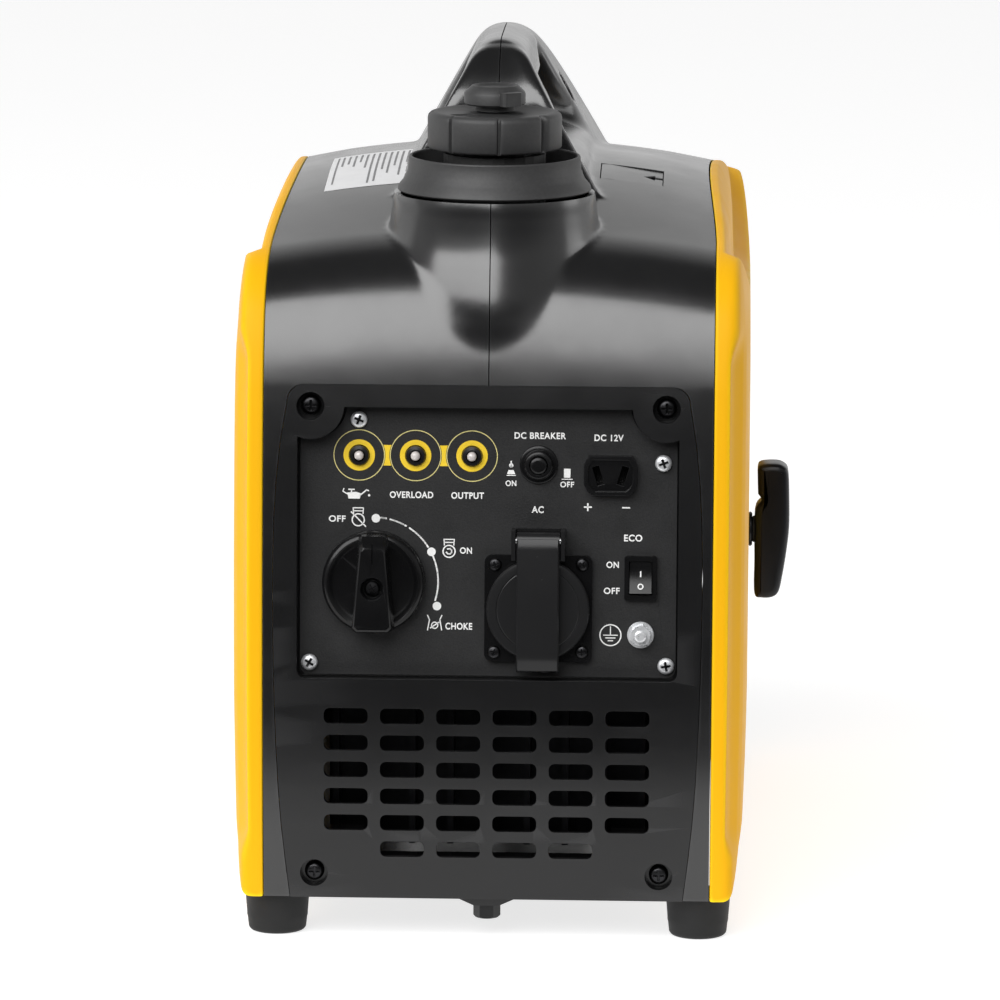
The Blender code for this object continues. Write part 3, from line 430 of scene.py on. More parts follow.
def make_materials():
    made = {row[0]: moulded(*row) for row in PLASTICS}
    made.update({row[0]: metal(*row) for row in METALS})
    made["casing_black"].dust((0.10, 0.10, 0.10), 0.05)
    cap = made["cap_grey"]
    cap.tint(cap.ranged(cap.noise(1.4, 3), 0.0, 0.35), (0.05, 0.05, 0.05))
    copper = made["copper_winding"]
    copper.bump(copper.noise(0.7, 1, stretch=(1, 0.05, 1)), 0.15)
    plate = made["panel_grey"] = Tree("panel_grey", (0.0115, 0.0115, 0.012), 0.5, specular=0.3)
    plate.tint(plate.ranged(plate.cells(0.9), 0.0, 0.5, 0.1, 0.7), (0.02, 0.02, 0.0205))
    plate.gloss(plate.noise(18, 4), 0.42, 0.58)
    plate.bump(plate.cells(0.85), 0.05)
    plate.bump(plate.noise(0.4, 2), 0.02)
    lens = made["lamp_lens"] = Tree("lamp_lens", (0.62, 0.58, 0.55), 0.10, specular=0.6, coat=0.6)
    lens.tint(lens.ranged(lens.noise(1.5, 2), 0.0, 0.5), (0.32, 0.28, 0.30))
    lens.gloss(lens.noise(2, 2), 0.06, 0.14)
    lens.bump(lens.noise(1.0, 1), 0.01)
    rope = made["rope_black"] = Tree("rope_black", (0.02, 0.02, 0.02), 0.85)
    rope.tint(rope.ranged(rope.noise(0.5, 2), 0.0, 1.0), (0.06, 0.06, 0.06))
    rope.gloss(rope.noise(1, 2), 0.8, 0.95)
    rope.bump(rope.cells(0.9), 0.25)
    for name, colour in INKS.items():
        ink = made[name] = Tree(name, colour, 0.45)
        ink.tint(ink.ranged(ink.noise(0.8, 3), 0.0, 0.5), tuple(c * 0.82 for c in colour))
        ink.gloss(ink.noise(4, 3), 0.38, 0.55)
        ink.bump(ink.noise(0.5, 2), 0.006)
    label = made["label_film"] = Tree("label_film", (0.66, 0.66, 0.665), 0.35, specular=0.4)
    label.tint(label.ranged(label.noise(14, 3), 0.0, 0.4), (0.58, 0.58, 0.59))
    label.gloss(label.noise(10, 3), 0.28, 0.42)
    label.bump(label.noise(12, 2), 0.02)
    return {name: tree.material for name, tree in made.items()}


MAT = make_materials()


# ---------------------------------------------------------------- casing surface

def bezier(curve, t):
    a, b, c, d = (np.array(p, float) for p in curve)
    s = 1 - t
    return s ** 3 * a + 3 * s * s * t * b + 3 * s * t * t * c + t ** 3 * d


def casing_profile(inset, steps):
    """Points (y, z) over the casing from front foot to rear foot, moved inward by inset."""
    front = [bezier(c, i / steps) for c in PROFILE_CURVES for i in range(steps)]
    front.append(np.array((0.0, CREST_Z)))
    points = np.array(front + [p * (-1, 1) for p in reversed(front[:-1])])
    tangent = np.gradient(points, axis=0)
    tangent /= np.linalg.norm(tangent, axis=1)[:, None]
    return points + inset * np.stack((tangent[:, 1], -tangent[:, 0]), 1)


def crowned(x, z):
    if z <= SHOULDER_Z:
        return z
    return SHOULDER_Z + (z - SHOULDER_Z) * (1 - CROWN_DROP * (x / SHELL_HALF) ** 2)


def casing_solid(inset, half, bottom=CASING_FOOT_Z, steps=10):
    stations = [half * i / 2 for i in (-2, -1, 0, 1, 2)]
    profile = casing_profile(inset, steps)
    profile[0][1] = profile[-1][1] = bottom
    return loft([[(x, y, crowned(x, z)) for y, z in profile] for x in stations])


FRONT_PROFILE = casing_profile(0.0, 24)


def surface_y(z):
    """Front face of the casing at height z."""
    half = FRONT_PROFILE[:len(FRONT_PROFILE) // 2]
    return float(np.interp(z, half[:, 1], half[:, 0]))


def top_z(x, y):
    """Height of the casing's top at (x, y)."""
    return crowned(x, float(np.interp(y, FRONT_PROFILE[:, 0], FRONT_PROFILE[:, 1])))


def end_outline(grow):
    side = [(half + grow, z) for z, half in END_OUTLINE]
    fine = []
    heights = [z for _, z in side]
    curve = np.polyfit(heights, [h for h, _ in side], 4)
    for z in np.linspace(heights[0], heights[-1], 14):
        fine.append((float(np.polyval(curve, z)), float(z)))
    half_top = fine[-1][0]
    top = SHOULDER_Z + grow
    corner = [(half_top - END_CORNER + END_CORNER * math.cos(a), top - END_CORNER + END_CORNER * math.sin(a))
              for a in (math.radians(d) for d in (15, 30, 45, 60, 75, 90))]
    right = fine + corner
    right[0] = (right[0][0], 15.0)
    return right + [(-x, z) for x, z in reversed(right)]


def draw_in(x, z):
    """Shift of a flank point towards the middle near the crest, for arrays."""
    rise = np.clip((z - DRAW_LOW_Z) / (DRAW_HIGH_Z - DRAW_LOW_Z), 0, 1)
    share = np.clip((np.abs(x) - DRAW_INNER_X) / (SHELL_HALF - DRAW_INNER_X), 0, 1)
    return x - np.sign(x) * DRAW_DEPTH * share * rise ** 1.5


# ---------------------------------------------------------------- moulded shells from a distance field

class Flat:
    """Signed distance to a closed outline in a plane, read from a grid."""

    def __init__(self, outline, low, high, step):
        self.low, self.step = np.array(low, float), step
        self.count = [int((h - l) / step) + 2 for l, h in zip(low, high)]
        a = self.low[0] + step * np.arange(self.count[0])
        b = self.low[1] + step * np.arange(self.count[1])
        grid = np.stack(np.meshgrid(a, b, indexing="ij"), -1).reshape(-1, 2)
        outline = np.array(outline, float)
        best = np.full(len(grid), 1e9)
        sign = np.ones(len(grid))
        for p, q in zip(outline, np.roll(outline, -1, 0)):
            edge, offset = q - p, grid - p
            share = np.clip(offset @ edge / max(edge @ edge, 1e-12), 0, 1)
            gap = offset - share[:, None] * edge
            best = np.minimum(best, (gap * gap).sum(1))
            crosses = (p[1] > grid[:, 1]) != (q[1] > grid[:, 1])
            if q[1] != p[1]:
                sign[crosses & (grid[:, 0] < edge[0] * (grid[:, 1] - p[1]) / edge[1] + p[0])] *= -1
        self.values = (np.sqrt(best) * sign).reshape(self.count).astype(np.float32)

    def __call__(self, a, b):
        a = np.clip((a - self.low[0]) / self.step, 0, self.count[0] - 1.001)
        b = np.clip((b - self.low[1]) / self.step, 0, self.count[1] - 1.001)
        i, j = a.astype(np.int32), b.astype(np.int32)
        s, t = a - i, b - j
        v = self.values
        return ((v[i, j] * (1 - s) + v[i + 1, j] * s) * (1 - t)
                + (v[i, j + 1] * (1 - s) + v[i + 1, j + 1] * s) * t)


def smooth_min(a, b, k):
    h = np.maximum(k - np.abs(a - b), 0) / k
    return np.minimum(a, b) - h * h * k * 0.25


def smooth_max(a, b, k):
    return -smooth_min(-a, -b, k)


def curve_through(points, count):
    """Even samples of a smooth curve through points."""
    points = np.array(points, float)
    ends = np.vstack((2 * points[0] - points[1], points, 2 * points[-1] - points[-2]))
    out = []
    for i in range(len(points) - 1):
        a, b, c, d = ends[i:i + 4]
        for t in np.linspace(0, 1, count, endpoint=False):
            out.append(0.5 * (2 * b + (c - a) * t + (2 * a - 5 * b + 4 * c - d) * t * t
                              + (3 * b - a - 3 * c + d) * t ** 3))
    out.append(points[-1])
    return np.array(out)


CASING_FIELD = Flat(list(casing_profile(0.0, 30)) + [(218, -40), (-218, -40)], (-236, 0), (236, 372), 1.5)
NECK_TOP_Z = 344.6
NECK_INSIDE_Z = 353
NECK_RINGS = ((54.5, 262), (56.6, 271), (57.9, 279), (58.6, 287), (58.1, 294), (56.9, 301), (55, 308),
              (52.7, 315.5), (50.7, 322), (49.3, 329), (48.1, 337), (47, NECK_TOP_Z), (44, NECK_INSIDE_Z))
NECK_FIELD = Flat([(0, 262)] + [tuple(p) for p in curve_through(NECK_RINGS, 8)] + [(0, NECK_INSIDE_Z)],
                  (0, 240), (90, 372), 1.0)
HANDLE_BACK = ((-76, 407), (-68, 408.2), (-56, 408.5), (-20, 408.5), (8, 407.8), (26, 406), (44, 402.4),
               (62, 395.5), (78, 385), (92, 370), (102, 355), (108, 340), (112, 326))
HANDLE_FRONT = ((-104, 320), (-104, 350), (-104, 372), (-103, 381), (-99, 389), (-92, 397), (-84, 403.5),
                (-76, 407))
HANDLE_TOP_FIELD = Flat([(-112, 320)] + [(-112, 407)] + [tuple(p) for p in curve_through(HANDLE_BACK, 8)],
                        (-130, 300), (130, 430), 1.0)
HANDLE_FACE_FIELD = Flat([(120, 320)] + [tuple(p) for p in curve_through(HANDLE_FRONT, 8)]
                         + [(-60, 440), (120, 440)],
                         (-130, 300), (130, 430), 1.0)
GRIP_GAP = (-84.0, 18.0, 360.0, 390.0)
HANDLE_SCREW, HANDLE_SCREW_RADIUS = (40.0, 372.5), 6.8
HANDLE_HALF, HANDLE_CREST_Z, HANDLE_SPREAD = 13.0, 402.0, 0.545
SKIN = 3.0
PROJECT_ROUNDS = 3


def handle_field(x, y, z):
    """Carrying handle: rounded bar over a finger gap, flat shield face at the front, flared rear leg."""
    across = np.abs(x)
    flank = (across - HANDLE_HALF - (HANDLE_CREST_Z - z) * HANDLE_SPREAD) * 0.878
    behind = np.clip((y + 101) / 14, 0, 1)
    low = np.clip((384 - z) / 18, 0, 1)
    flank = flank + 1.6 * behind * low * np.clip((-40 - y) / 30, 0, 1)
    bar = smooth_max(flank, HANDLE_TOP_FIELD(y, z), 9.0)
    dish = 1.6 * np.clip(1 - (across / (8 + (HANDLE_CREST_Z - z) * HANDLE_SPREAD)) ** 2, 0, 1)
    body = smooth_max(bar, HANDLE_FACE_FIELD(y - dish, z), 2.2)
    front, back, low_z, high_z = GRIP_GAP
    flare = 0.7 * np.maximum(across - HANDLE_HALF, 0) * np.clip((high_z + 4 - z) / 30, 0.15, 1)
    sill = low_z - 0.35 * np.maximum(across - 20, 0)
    gap = smooth_max(smooth_max(front - y, y - back - flare, 6.0),
                     smooth_max(sill - z, z - high_z - 0.12 * (y + 40) * (y > -40), 10.0), 12.0)
    body = smooth_max(body, -gap, 5.0)
    hole = np.hypot(y - HANDLE_SCREW[0], z - HANDLE_SCREW[1]) - HANDLE_SCREW_RADIUS
    hole = np.maximum(hole, 20.0 - across)
    return smooth_max(body, -hole, 1.2)


def shell_field(x, y, z):
    """Outer skin of the shells with neck and handle run in, as one solid."""
    flat_z = np.where(z > SHOULDER_Z,
                      SHOULDER_Z + (z - SHOULDER_Z) / (1 - CROWN_DROP * (np.clip(x, -104,
                                                                                 104) / SHELL_HALF) ** 2), z)
    casing = CASING_FIELD(y, flat_z)
    radius = np.hypot(x - FILLER[0], y - FILLER[1])
    skin = smooth_min(casing, NECK_FIELD(radius, z), 2.6)
    grip = np.maximum(handle_field(x, y, z), 326 - z)
    skin = smooth_min(skin, grip, 3.0)
    return skin


def project(points, field):
    """Move points onto the zero surface of a field."""
    points = points.copy()
    for _ in range(PROJECT_ROUNDS):
        value = field(*points.T)
        slope = np.stack([(field(*(points + d).T) - field(*(points - d).T)) / 0.6
                          for d in np.eye(3) * 0.3], 1)
        size = np.maximum((slope * slope).sum(1), 0.2)
        move = slope * (value / size)[:, None]
        length = np.linalg.norm(move, axis=1)[:, None]
        points -= move * np.minimum(1, 1.2 / np.maximum(length, 1e-9))
    return points


def field_mesh(field, low, high, step):
    """Quads over the zero surface of a field inside a box."""
    axes = [np.arange(l, h + step, step, dtype=np.float32) for l, h in zip(low, high)]
    values = np.empty([len(a) for a in axes], np.float32)
    for i, x in enumerate(axes[0]):
        y, z = np.meshgrid(axes[1], axes[2], indexing="ij")
        values[i] = field(np.full_like(y, x), y, z)
    grid = openvdb.FloatGrid(100.0)
    grid.copyFromArray(np.clip(values, -6, 6))
    points, quads = grid.convertToQuads(0.0)
    points = np.array(points, float) * step + np.array([a[0] for a in axes])
    return project(points, field), quads


def slice_off(bm, point, normal):
    """Cut along a plane and drop what lies on the side its normal points to."""
    geometry = bm.verts[:] + bm.edges[:] + bm.faces[:]
    bmesh.ops.bisect_plane(bm, geom=geometry, plane_co=point, plane_no=normal, clear_outer=True, dist=0.02)


def with_borders(faces):
    """Faces with their edges and corners, in an order that is the same each run."""
    edges = [e for f in faces for e in f.edges]
    verts = [v for f in faces for v in f.verts]
    return list(dict.fromkeys(verts + edges + faces))


def score(bm, outline, across, chosen):
    """Cut edges along a closed outline in two axes, through the faces whose centres are chosen."""
    first, second = across
    for start, end in zip(outline, outline[1:] + outline[:1]):
        normal = Vector((0, 0, 0))
        normal[first], normal[second] = end[1] - start[1], start[0] - end[0]
        if normal.length < 1e-6:
            continue
        point = Vector((0, 0, 0))
        point[first], point[second] = start
        faces = []
        for face in bm.faces:
            centre = face.calc_center_median()
            if chosen(centre) and min(start[0], end[0]) - 5 < centre[first] < max(start[0], end[0]) + 5 \
                    and min(start[1], end[1]) - 5 < centre[second] < max(start[1], end[1]) + 5:
                faces.append(face)
        bmesh.ops.bisect_plane(bm, geom=with_borders(faces), plane_co=point, plane_no=normal, dist=0.02)


def inside(outline, x, z):
    """Whether (x, z) lies in an outline."""
    hit = False
    for (x0, z0), (x1, z1) in zip(outline, outline[1:] + outline[:1]):
        if (z0 > z) != (z1 > z) and x < (x1 - x0) * (z - z0) / (z1 - z0) + x0:
            hit = not hit
    return hit


def thickened(bm, wall):
    """Give an open skin its wall thickness inward."""
    bmesh.ops.remove_doubles(bm, verts=bm.verts, dist=0.12)
    bmesh.ops.dissolve_degenerate(bm, edges=bm.edges, dist=0.05)
    bmesh.ops.recalc_face_normals(bm, faces=bm.faces)
    mesh = bpy.data.meshes.new("piece")
    bm.to_mesh(mesh)
    bm.free()
    obj = new_object(mesh)
    modifier = obj.modifiers.new("wall", "SOLIDIFY")
    modifier.thickness = wall
    modifier.offset = -1
    modifier.use_even_offset = False
    depsgraph = bpy.context.evaluated_depsgraph_get()
    thick = bpy.data.meshes.new_from_object(obj.evaluated_get(depsgraph))
    obj.modifiers.clear()
    obj.data = thick
    return obj


SHELL_STEP = 1.6
LID_OPENING = ((47.7, -70.3), (78.3, -70.3), (78.3, -37.7), (47.7, -37.7))


def shells():
    """Left and right shells, each with its half of the neck and of the handle."""
    points, quads = field_mesh(shell_field, (-112, -228, 8), (112, 228, 412), SHELL_STEP)
    whole = surface(points, quads)
    for side, name in ((-1, "left"), (1, "right")):
        bm = bmesh.new()
        bm.from_mesh(whole.data)
        slice_off(bm, (0.25 * side, 0, 0), (-side, 0, 0))
        slice_off(bm, (SHELL_HALF * side, 0, 0), (side, 0, 0))
        slice_off(bm, (0, 0, CASE_BOTTOM), (0, 0, -1))
        rim = []
        for face in bm.faces:
            at = face.calc_center_median()
            if at.z > NECK_TOP_Z - 8 and (at.xy - Vector(FILLER)).length < 56 and at.y < -105:
                rim.append(face)
        bmesh.ops.bisect_plane(bm, geom=with_borders(rim), plane_co=(0, 0, NECK_TOP_Z), plane_no=(0, 0, 1),
                               clear_outer=True)
        outline = end_outline(GAP)
        score(bm, outline, (0, 2), lambda at: at.y < -190)
        score(bm, outline, (0, 2), lambda at: at.y > 190)
        centres = [(f, f.calc_center_median()) for f in bm.faces]
        gone = [f for f, at in centres if abs(at.y) > 190 and inside(outline, at.x, at.z)]
        if side > 0:
            score(bm, LID_OPENING, (0, 1), lambda at: at.z > 300)
            centres = [(f, f.calc_center_median()) for f in bm.faces]
            gone += [f for f, at in centres if at.z > 300 and inside(LID_OPENING, at.x, at.y)]
        bmesh.ops.delete(bm, geom=gone, context="FACES")
        for vert in bm.verts:
            vert.co.x = float(draw_in(np.array(vert.co.x), np.array(vert.co.z)))
        obj = thickened(bm, SKIN)
        piece(obj, "casing_shell_" + name, "root", "casing_black",
              ("shell_" + name, "handle_" + name), sharp=40)
    bpy.data.objects.remove(whole, do_unlink=True)


# ---------------------------------------------------------------- end covers

def grille_cutters():
    cutters = []
    for row in range(6):
        z = SLOT_TOP_Z - SLOT_PITCH_Z * row
        for column in range(6):
            if row == 5 and column in (0, 5):
                continue
            x = SLOT_PITCH_X * (column - 2.5)
            outline = rounded(x, z, SLOT_LENGTH / 2, SLOT_HEIGHT / 2, 2.8, 5)
            cutters.append(prism(outline, "Y", *FRONT_CUT))
    return merged(cutters)


def front_cover():
    """Bezel, control recess and lower grille in one moulding."""
    cover = keep(casing_solid(0, SHELL_HALF, steps=14), prism(end_outline(0), "Y", -240, -198))
    join(cover, prism(((-17, 21), (-6, 16), (6, 16), (17, 21)), "Y", -214, -199))
    for wall, half_x, low, high in ((SKIN, 84, 50.5, 113.5), (SKIN + 0.3, 58, 38, 52)):
        pocket = keep(casing_solid(wall, half_x, steps=8), box(-half_x, half_x, *FRONT_CUT, low, high))
        cut(cover, pocket)
    cut(cover, on_plate(prism(plate_outline(0.9), "Z", -PLATE_T - GAP, 30)))
    cut(cover, on_plate(prism(rounded(0, 4.0, 74, 51.5, 4, 3), "Z", -30, 0)))
    cut(cover, on_plate(box(60, 79.5, -30, 20, -30, 0)))
    bores = [on_plate(rod(u, v, 2.2, -30, 0, count=24)) for u, v in PLATE_SCREWS]
    cut(cover, merged(bores))
    for x, z in COVER_SCREWS:
        face = surface_y(z)
        profile = ((0, face + 6), (6.5, face + 6), (6.5, face - 10), (0, face - 10))
        cut(cover, turned(profile, x, z, "Y", 48))
        cut(cover, rod(x, z, 2.5, face, -190, "Y", 24))
    cut(cover, grille_cutters())
    piece(cover, "bezel_and_grille", "root", "cover_black", ("front_cover",), 0.8, 28, 3)


def rear_cover():
    cover = casing_solid(0, SHELL_HALF, steps=14)
    cut(cover, casing_solid(SKIN, SHELL_HALF + 2, CASE_BOTTOM - 10, steps=8))
    keep(cover, prism(end_outline(0), "Y", *REAR_CUT))
    cutters = [rod(*EXHAUST_AT, EXHAUST_RADIUS, *REAR_CUT, "Y", 48)]
    for side in (-1, 1):
        for i in range(7):
            cutters.append(prism(rounded(side * 34, 48 + 11 * i, 27, 3.2, 2.8, 5), "Y", *REAR_CUT))
    cut(cover, merged(cutters))
    piece(cover, "rear_grille", "root", "cover_black", ("rear_cover",), 0.5, 28)


# ---------------------------------------------------------------- side covers

PLAIN_PATH = ((0, 2.5), (0, 1), (.3, .35), (.9, .05), (2, 0), (5, 0), (7.2, .1), (8.6, .45), (9.8, 1.1),
              (10.8, 2.2), (11.5, 3.8), (12.0, 6), (12.6, 9), (13.2, 13), (13.8, 18), (14.5, 25), (15.2, 34),
              (15.9, 45),
              (16.5, 58), (16.7, 72), (16.7, 88))
FLUTE_PATH = ((0, 2.5), (0, 1), (.3, .35), (.9, .05), (2, 0), (5, 0), (6.8, .1), (7.3, .5), (7.5, 1.5),
              (7.7, 3), (7.95, 5), (8.4, 7.5), (9.3, 10.5), (11.0, 14), (13.2, 18), (14.7, 23), (15.7, 32),
              (16.3, 45),
              (16.6, 58), (16.7, 72), (16.7, 88))
UPPER_PATH = ((0, 2.5), (0, 1), (.3, .35), (.8, .05), (1.6, 0), (2.8, .05), (3.6, .3), (4.1, .9),
              (4.5, 1.8), (4.8, 3), (5.1, 4.6), (5.4, 7), (5.8, 10), (6.2, 14), (6.6, 19), (7, 25),
              (7.4, 34), (7.8, 45),
              (8.2, 58), (8.5, 72), (8.6, 88))
COVER_INNER = 104.3
COVER_MIDDLE = (CASE_BOTTOM + CREST_Z) / 2
COVER_HALF_Y, COVER_HALF_Z = 222.0, COVER_MIDDLE - CASE_BOTTOM
STEP_LOW_Z, STEP_RISE, STEP_REACH = 287, 31, 165


def smoothstep(value, low, high):
    share = np.clip((value - low) / (high - low), 0, 1)
    return share * share * (3 - 2 * share)


def dense_path(path, index):
    """Columns of a section path at the given places along it."""
    return np.interp(index, np.arange(len(path)), [point[0] for point in path]), \
        np.interp(index, np.arange(len(path)), [point[1] for point in path])


def cover_skin():
    """Points and faces of the right side cover's outer skin."""
    spacing = 1.4
    outline = casing_profile(0.0, 60)
    floor_line = np.stack((np.linspace(217, -217, 60)[1:-1], np.full(58, CASE_BOTTOM)), 1)
    outline = np.vstack((outline, floor_line, outline[:1]))
    run = np.concatenate(((0,), np.cumsum(np.linalg.norm(np.diff(outline, axis=0), axis=1))))
    even = np.linspace(0, run[-1], int(run[-1] / spacing) + 1)[:-1]
    ring = np.stack((np.interp(even, run, outline[:, 0]), np.interp(even, run, outline[:, 1])), 1)
    index = [0.0]
    for i in range(len(PLAIN_PATH) - 1):
        reach = max(abs(PLAIN_PATH[i + 1][1] - PLAIN_PATH[i][1]),
                    abs(PLAIN_PATH[i + 1][0] - PLAIN_PATH[i][0]))
        parts = max(1, int(reach / spacing))
        index.extend(i + (k + 1) / parts for k in range(parts))
    index = np.array(index)
    rows = []
    plain, flute, upper = (dense_path(path, index) for path in (PLAIN_PATH, FLUTE_PATH, UPPER_PATH))
    for k in range(len(index)):
        seen_z = COVER_MIDDLE + (ring[:, 1] - COVER_MIDDLE) * (1 - plain[1][k] / COVER_HALF_Z)
        seen_y = ring[:, 0] * (1 - plain[1][k] / COVER_HALF_Y)
        groove = smoothstep(seen_z, 38, 54) * (1 - smoothstep(seen_z, 272,
                                                              292)) * smoothstep(np.abs(seen_y), 150, 190)
        seen_top = np.where(seen_z > SHOULDER_Z, SHOULDER_Z + (seen_z - SHOULDER_Z) * (1 - CROWN_DROP),
                            seen_z)
        line_z = STEP_LOW_Z + STEP_RISE * np.minimum(np.abs(seen_y) / STEP_REACH, 1) ** 2
        above = smoothstep(seen_top - line_z, -2.4, 2.2)
        out = plain[0][k] * (1 - groove) + flute[0][k] * groove
        inset = plain[1][k] * (1 - groove) + flute[1][k] * groove
        out = out * (1 - above) + upper[0][k] * above
        inset = inset * (1 - above) + upper[1][k] * above
        y = ring[:, 0] * (1 - inset / COVER_HALF_Y)
        z = COVER_MIDDLE + (ring[:, 1] - COVER_MIDDLE) * (1 - inset / COVER_HALF_Z)
        low = np.clip((110 - z) / (110 - CASE_BOTTOM), 0, 1)
        crown = np.where(z > SHOULDER_Z, SHOULDER_Z + (z - SHOULDER_Z) * (1 - CROWN_DROP), z)
        x = draw_in(COVER_INNER + out * (1 - 0.07 * low), crown)
        rows.append(np.stack((x, y, crown), 1))
    count = len(ring)
    faces = []
    for k in range(len(rows) - 1):
        for i in range(count):
            j = (i + 1) % count
            faces.append((k * count + i, k * count + j, (k + 1) * count + j, (k + 1) * count + i))
    faces.append(tuple((len(rows) - 1) * count + i for i in range(count)))
    return np.vstack(rows), faces


def side_covers():
    points, faces = cover_skin()
    skin = surface(points, faces)
    for side, name in ((1, "right"), (-1, "left")):
        bm = bmesh.new()
        bm.from_mesh(skin.data)
        bmesh.ops.recalc_face_normals(bm, faces=bm.faces)
        cover = thickened(bm, 2.5)
        cutters = [prism(rounded(120, 70 + 13 * i, 34, 3.2, 2.8, 5), "X", 106, 128) for i in range(7)]
        if side > 0:
            cutters.append(rod(*ROPE_AT, 6.3, 106, 128, "X", 40))
        cut(cover, merged(cutters))
        if side < 0:
            mirror_across(cover)
        piece(cover, "side_panel_" + name, "root", "cover_yellow", ("side_cover_" + name,), sharp=50)
    bpy.data.objects.remove(skin, do_unlink=True)


# ---------------------------------------------------------------- feet, filler and cap

def feet():
    profile = ((0, 0), (11, 0), (12.6, 0.3), (13.5, 1.4), (14.0, 6), (14.3, 7.2), (14.3, 8.2), (14.6, 12),
               (15.2, 20), (0, 20))
    for end, sy in (("front", -1), ("rear", 1)):
        for side, sx in (("left", -1), ("right", 1)):
            foot = cut(turned(profile, sx * FOOT_X, sy * FOOT_Y, "Z", 64),
                       rod(sx * FOOT_X, sy * FOOT_Y, 4.2, -1, 5, count=32))
            piece(foot, "rubber_foot_%s_%s" % (end, side), "root", "rubber_black",
                  ("foot_%s_%s" % (end, side),), 0.4)


def grooved_disc(rows, cx, cy, count=288):
    """Knurled disc: rows of (height, radius, groove depth); the groove at the front right is deeper."""
    rings = []
    for z, radius, depth in rows:
        ring = []
        for i in range(count):
            angle = 2 * math.pi * i / count
            inset = 0.0
            for k in range(8):
                centre = math.radians(5.6 + 45 * k)
                off = math.atan2(math.sin(angle - centre), math.cos(angle - centre))
                width, deep = (0.05, 2.0) if k == 7 else (0.021, 1.1)
                inset += depth * deep * math.exp(-(off / width) ** 2)
            ring.append((cx + (radius - inset) * math.cos(angle), cy + (radius - inset) * math.sin(angle),
                         z))
        rings.append(ring)
    return loft(rings)


def filler():
    x, y = FILLER
    z = 345.3
    profile = ((28, z), (44.6, z), (45.5, z + 0.8), (44.9, z + 2.6), (42.6, z + 5.4), (41.5, z + 7.6),
               (41.1, z + 9.0), (40.7, z + 9.6), (40.5, z + 12.6), (40.3, z + 13.2), (40.3, z + 15.9),
               (39.9, z + 16.5),
               (38.9, z + 16.5), (38.4, z + 15.9), (38.2, z + 4), (28, z + 3))
    piece(turned(profile, x, y, "Z", 128, True), "rubber_spill_collar", "root", "cap_grey",
          ("spill_collar",), 0.25)
    rows = ((365, 30.2, 0.4), (365.5, 30.9, 1.2), (366.3, 31.4, 1.7), (379.6, 31.5, 1.8), (381.1, 31.1, 1.6),
            (382.1, 30.0, 1.2), (382.5, 28.6, 0.5), (382.5, 27.0, 0.0), (382.2, 25.6, 0.0),
            (382.1, 16.0, 0.0))
    cap = grooved_disc(rows, x, y)
    dimple = rod(0, 0, 4.6, -1.0, 3.0, count=40)
    dimple.data.transform(Matrix.Translation((x - 14.5, y - 14.5, 381.4)) @ Matrix.Rotation(0.35, 4, "Z")
                          @ Matrix.Diagonal((1.5, 0.75, 1, 1)))
    piece(cut(cap, dimple), "filler_cap", "fuel_cap", "cap_grey", ("fuel_cap",), 0.3, 40)
    base = 382.8
    profile = ((0, base), (9, base), (9, base + 2.4), (13.7, base + 2.9), (14.4, base + 3.6),
               (14.4, base + 8.0), (14.0, base + 8.9), (11.3, base + 11.5), (10.7, base + 11.9),
               (10.0, base + 11.8),
               (9.0, base + 11.0), (7.5, base + 10.6), (0, base + 10.4))
    knob = turned(profile, x, y, "Z", 96)
    lug = prism(rounded(13.2, 0, 4.6, 5, 1.6, 5), "Z", base + 3.4, base + 9.8)
    lug.data.transform(Matrix.Translation((x, y, 0)) @ Matrix.Rotation(math.radians(-58), 4, "Z"))
    piece(join(knob, lug), "air_vent_knob", "vent_knob", "cap_grey", ("vent_knob",), 0.35)


# ---------------------------------------------------------------- control plate and what sits on it

def plate_matrix():
    s, c = math.sin(PLATE_LEAN), math.cos(PLATE_LEAN)
    lean = Matrix(((1, 0, 0, 0), (0, s, -c, 0), (0, c, s, 0), (0, 0, 0, 1)))
    return Matrix.Translation(PLATE_CENTRE) @ lean


def on_plate(obj):
    obj.data.transform(plate_matrix())
    return obj


def plate_outline(grow):
    half, top, bottom = PLATE_HALF + grow, PLATE_TOP + grow, PLATE_BOTTOM - grow
    corner_u, corner_v = 82.4, 69.0
    radius = NOTCH_R - grow
    first = -math.acos((half - corner_u) / radius)
    last = -math.pi + math.asin((corner_v - top) / radius)
    right = []
    for i in range(6):
        angle = -math.pi / 2 + math.pi / 2 * i / 5
        right.append((half - 4 + 4 * math.cos(angle), bottom + 4 + 4 * math.sin(angle)))
    for i in range(20):
        angle = first + (last - first) * i / 19
        right.append((corner_u + radius * math.cos(angle), corner_v + radius * math.sin(angle)))
    return right + [(-u, v) for u, v in reversed(right)]


PLATE_SCREWS = ((-60.3, 61.8), (81.1, 42.8), (-83.0, -52.0), (83.0, -52.0))
KNOB_AT, BREAKER_AT, DC_AT, AC_AT = (-53.0, -13.6), (23.2, 41.6), (56.6, 37.2), (23.5, -25.3)
ROCKER_AT, GROUND_AT = (70.9, -10.8), (71.1, -37.4)
LED_ACROSS, LED_UP = (-60.2, -34.0, -7.8), 45.2
HINGE_UP, HINGE_OUT = 7.0, 8.5


def cross_cutter(a, b, axis, low, high, arm, half):
    bars = []
    for p, q in ((arm, half), (half, arm)):
        bars.append(prism(((a - p, b - q), (a + p, b - q), (a + p, b + q), (a - p, b + q)), axis, low, high))
    return join(bars[0], bars[1])


def turn_about(obj, u, v, angle):
    obj.data.transform(Matrix.Translation((u, v, 0)) @ Matrix.Rotation(angle, 4, "Z")
                       @ Matrix.Translation((-u, -v, 0)))
    return obj


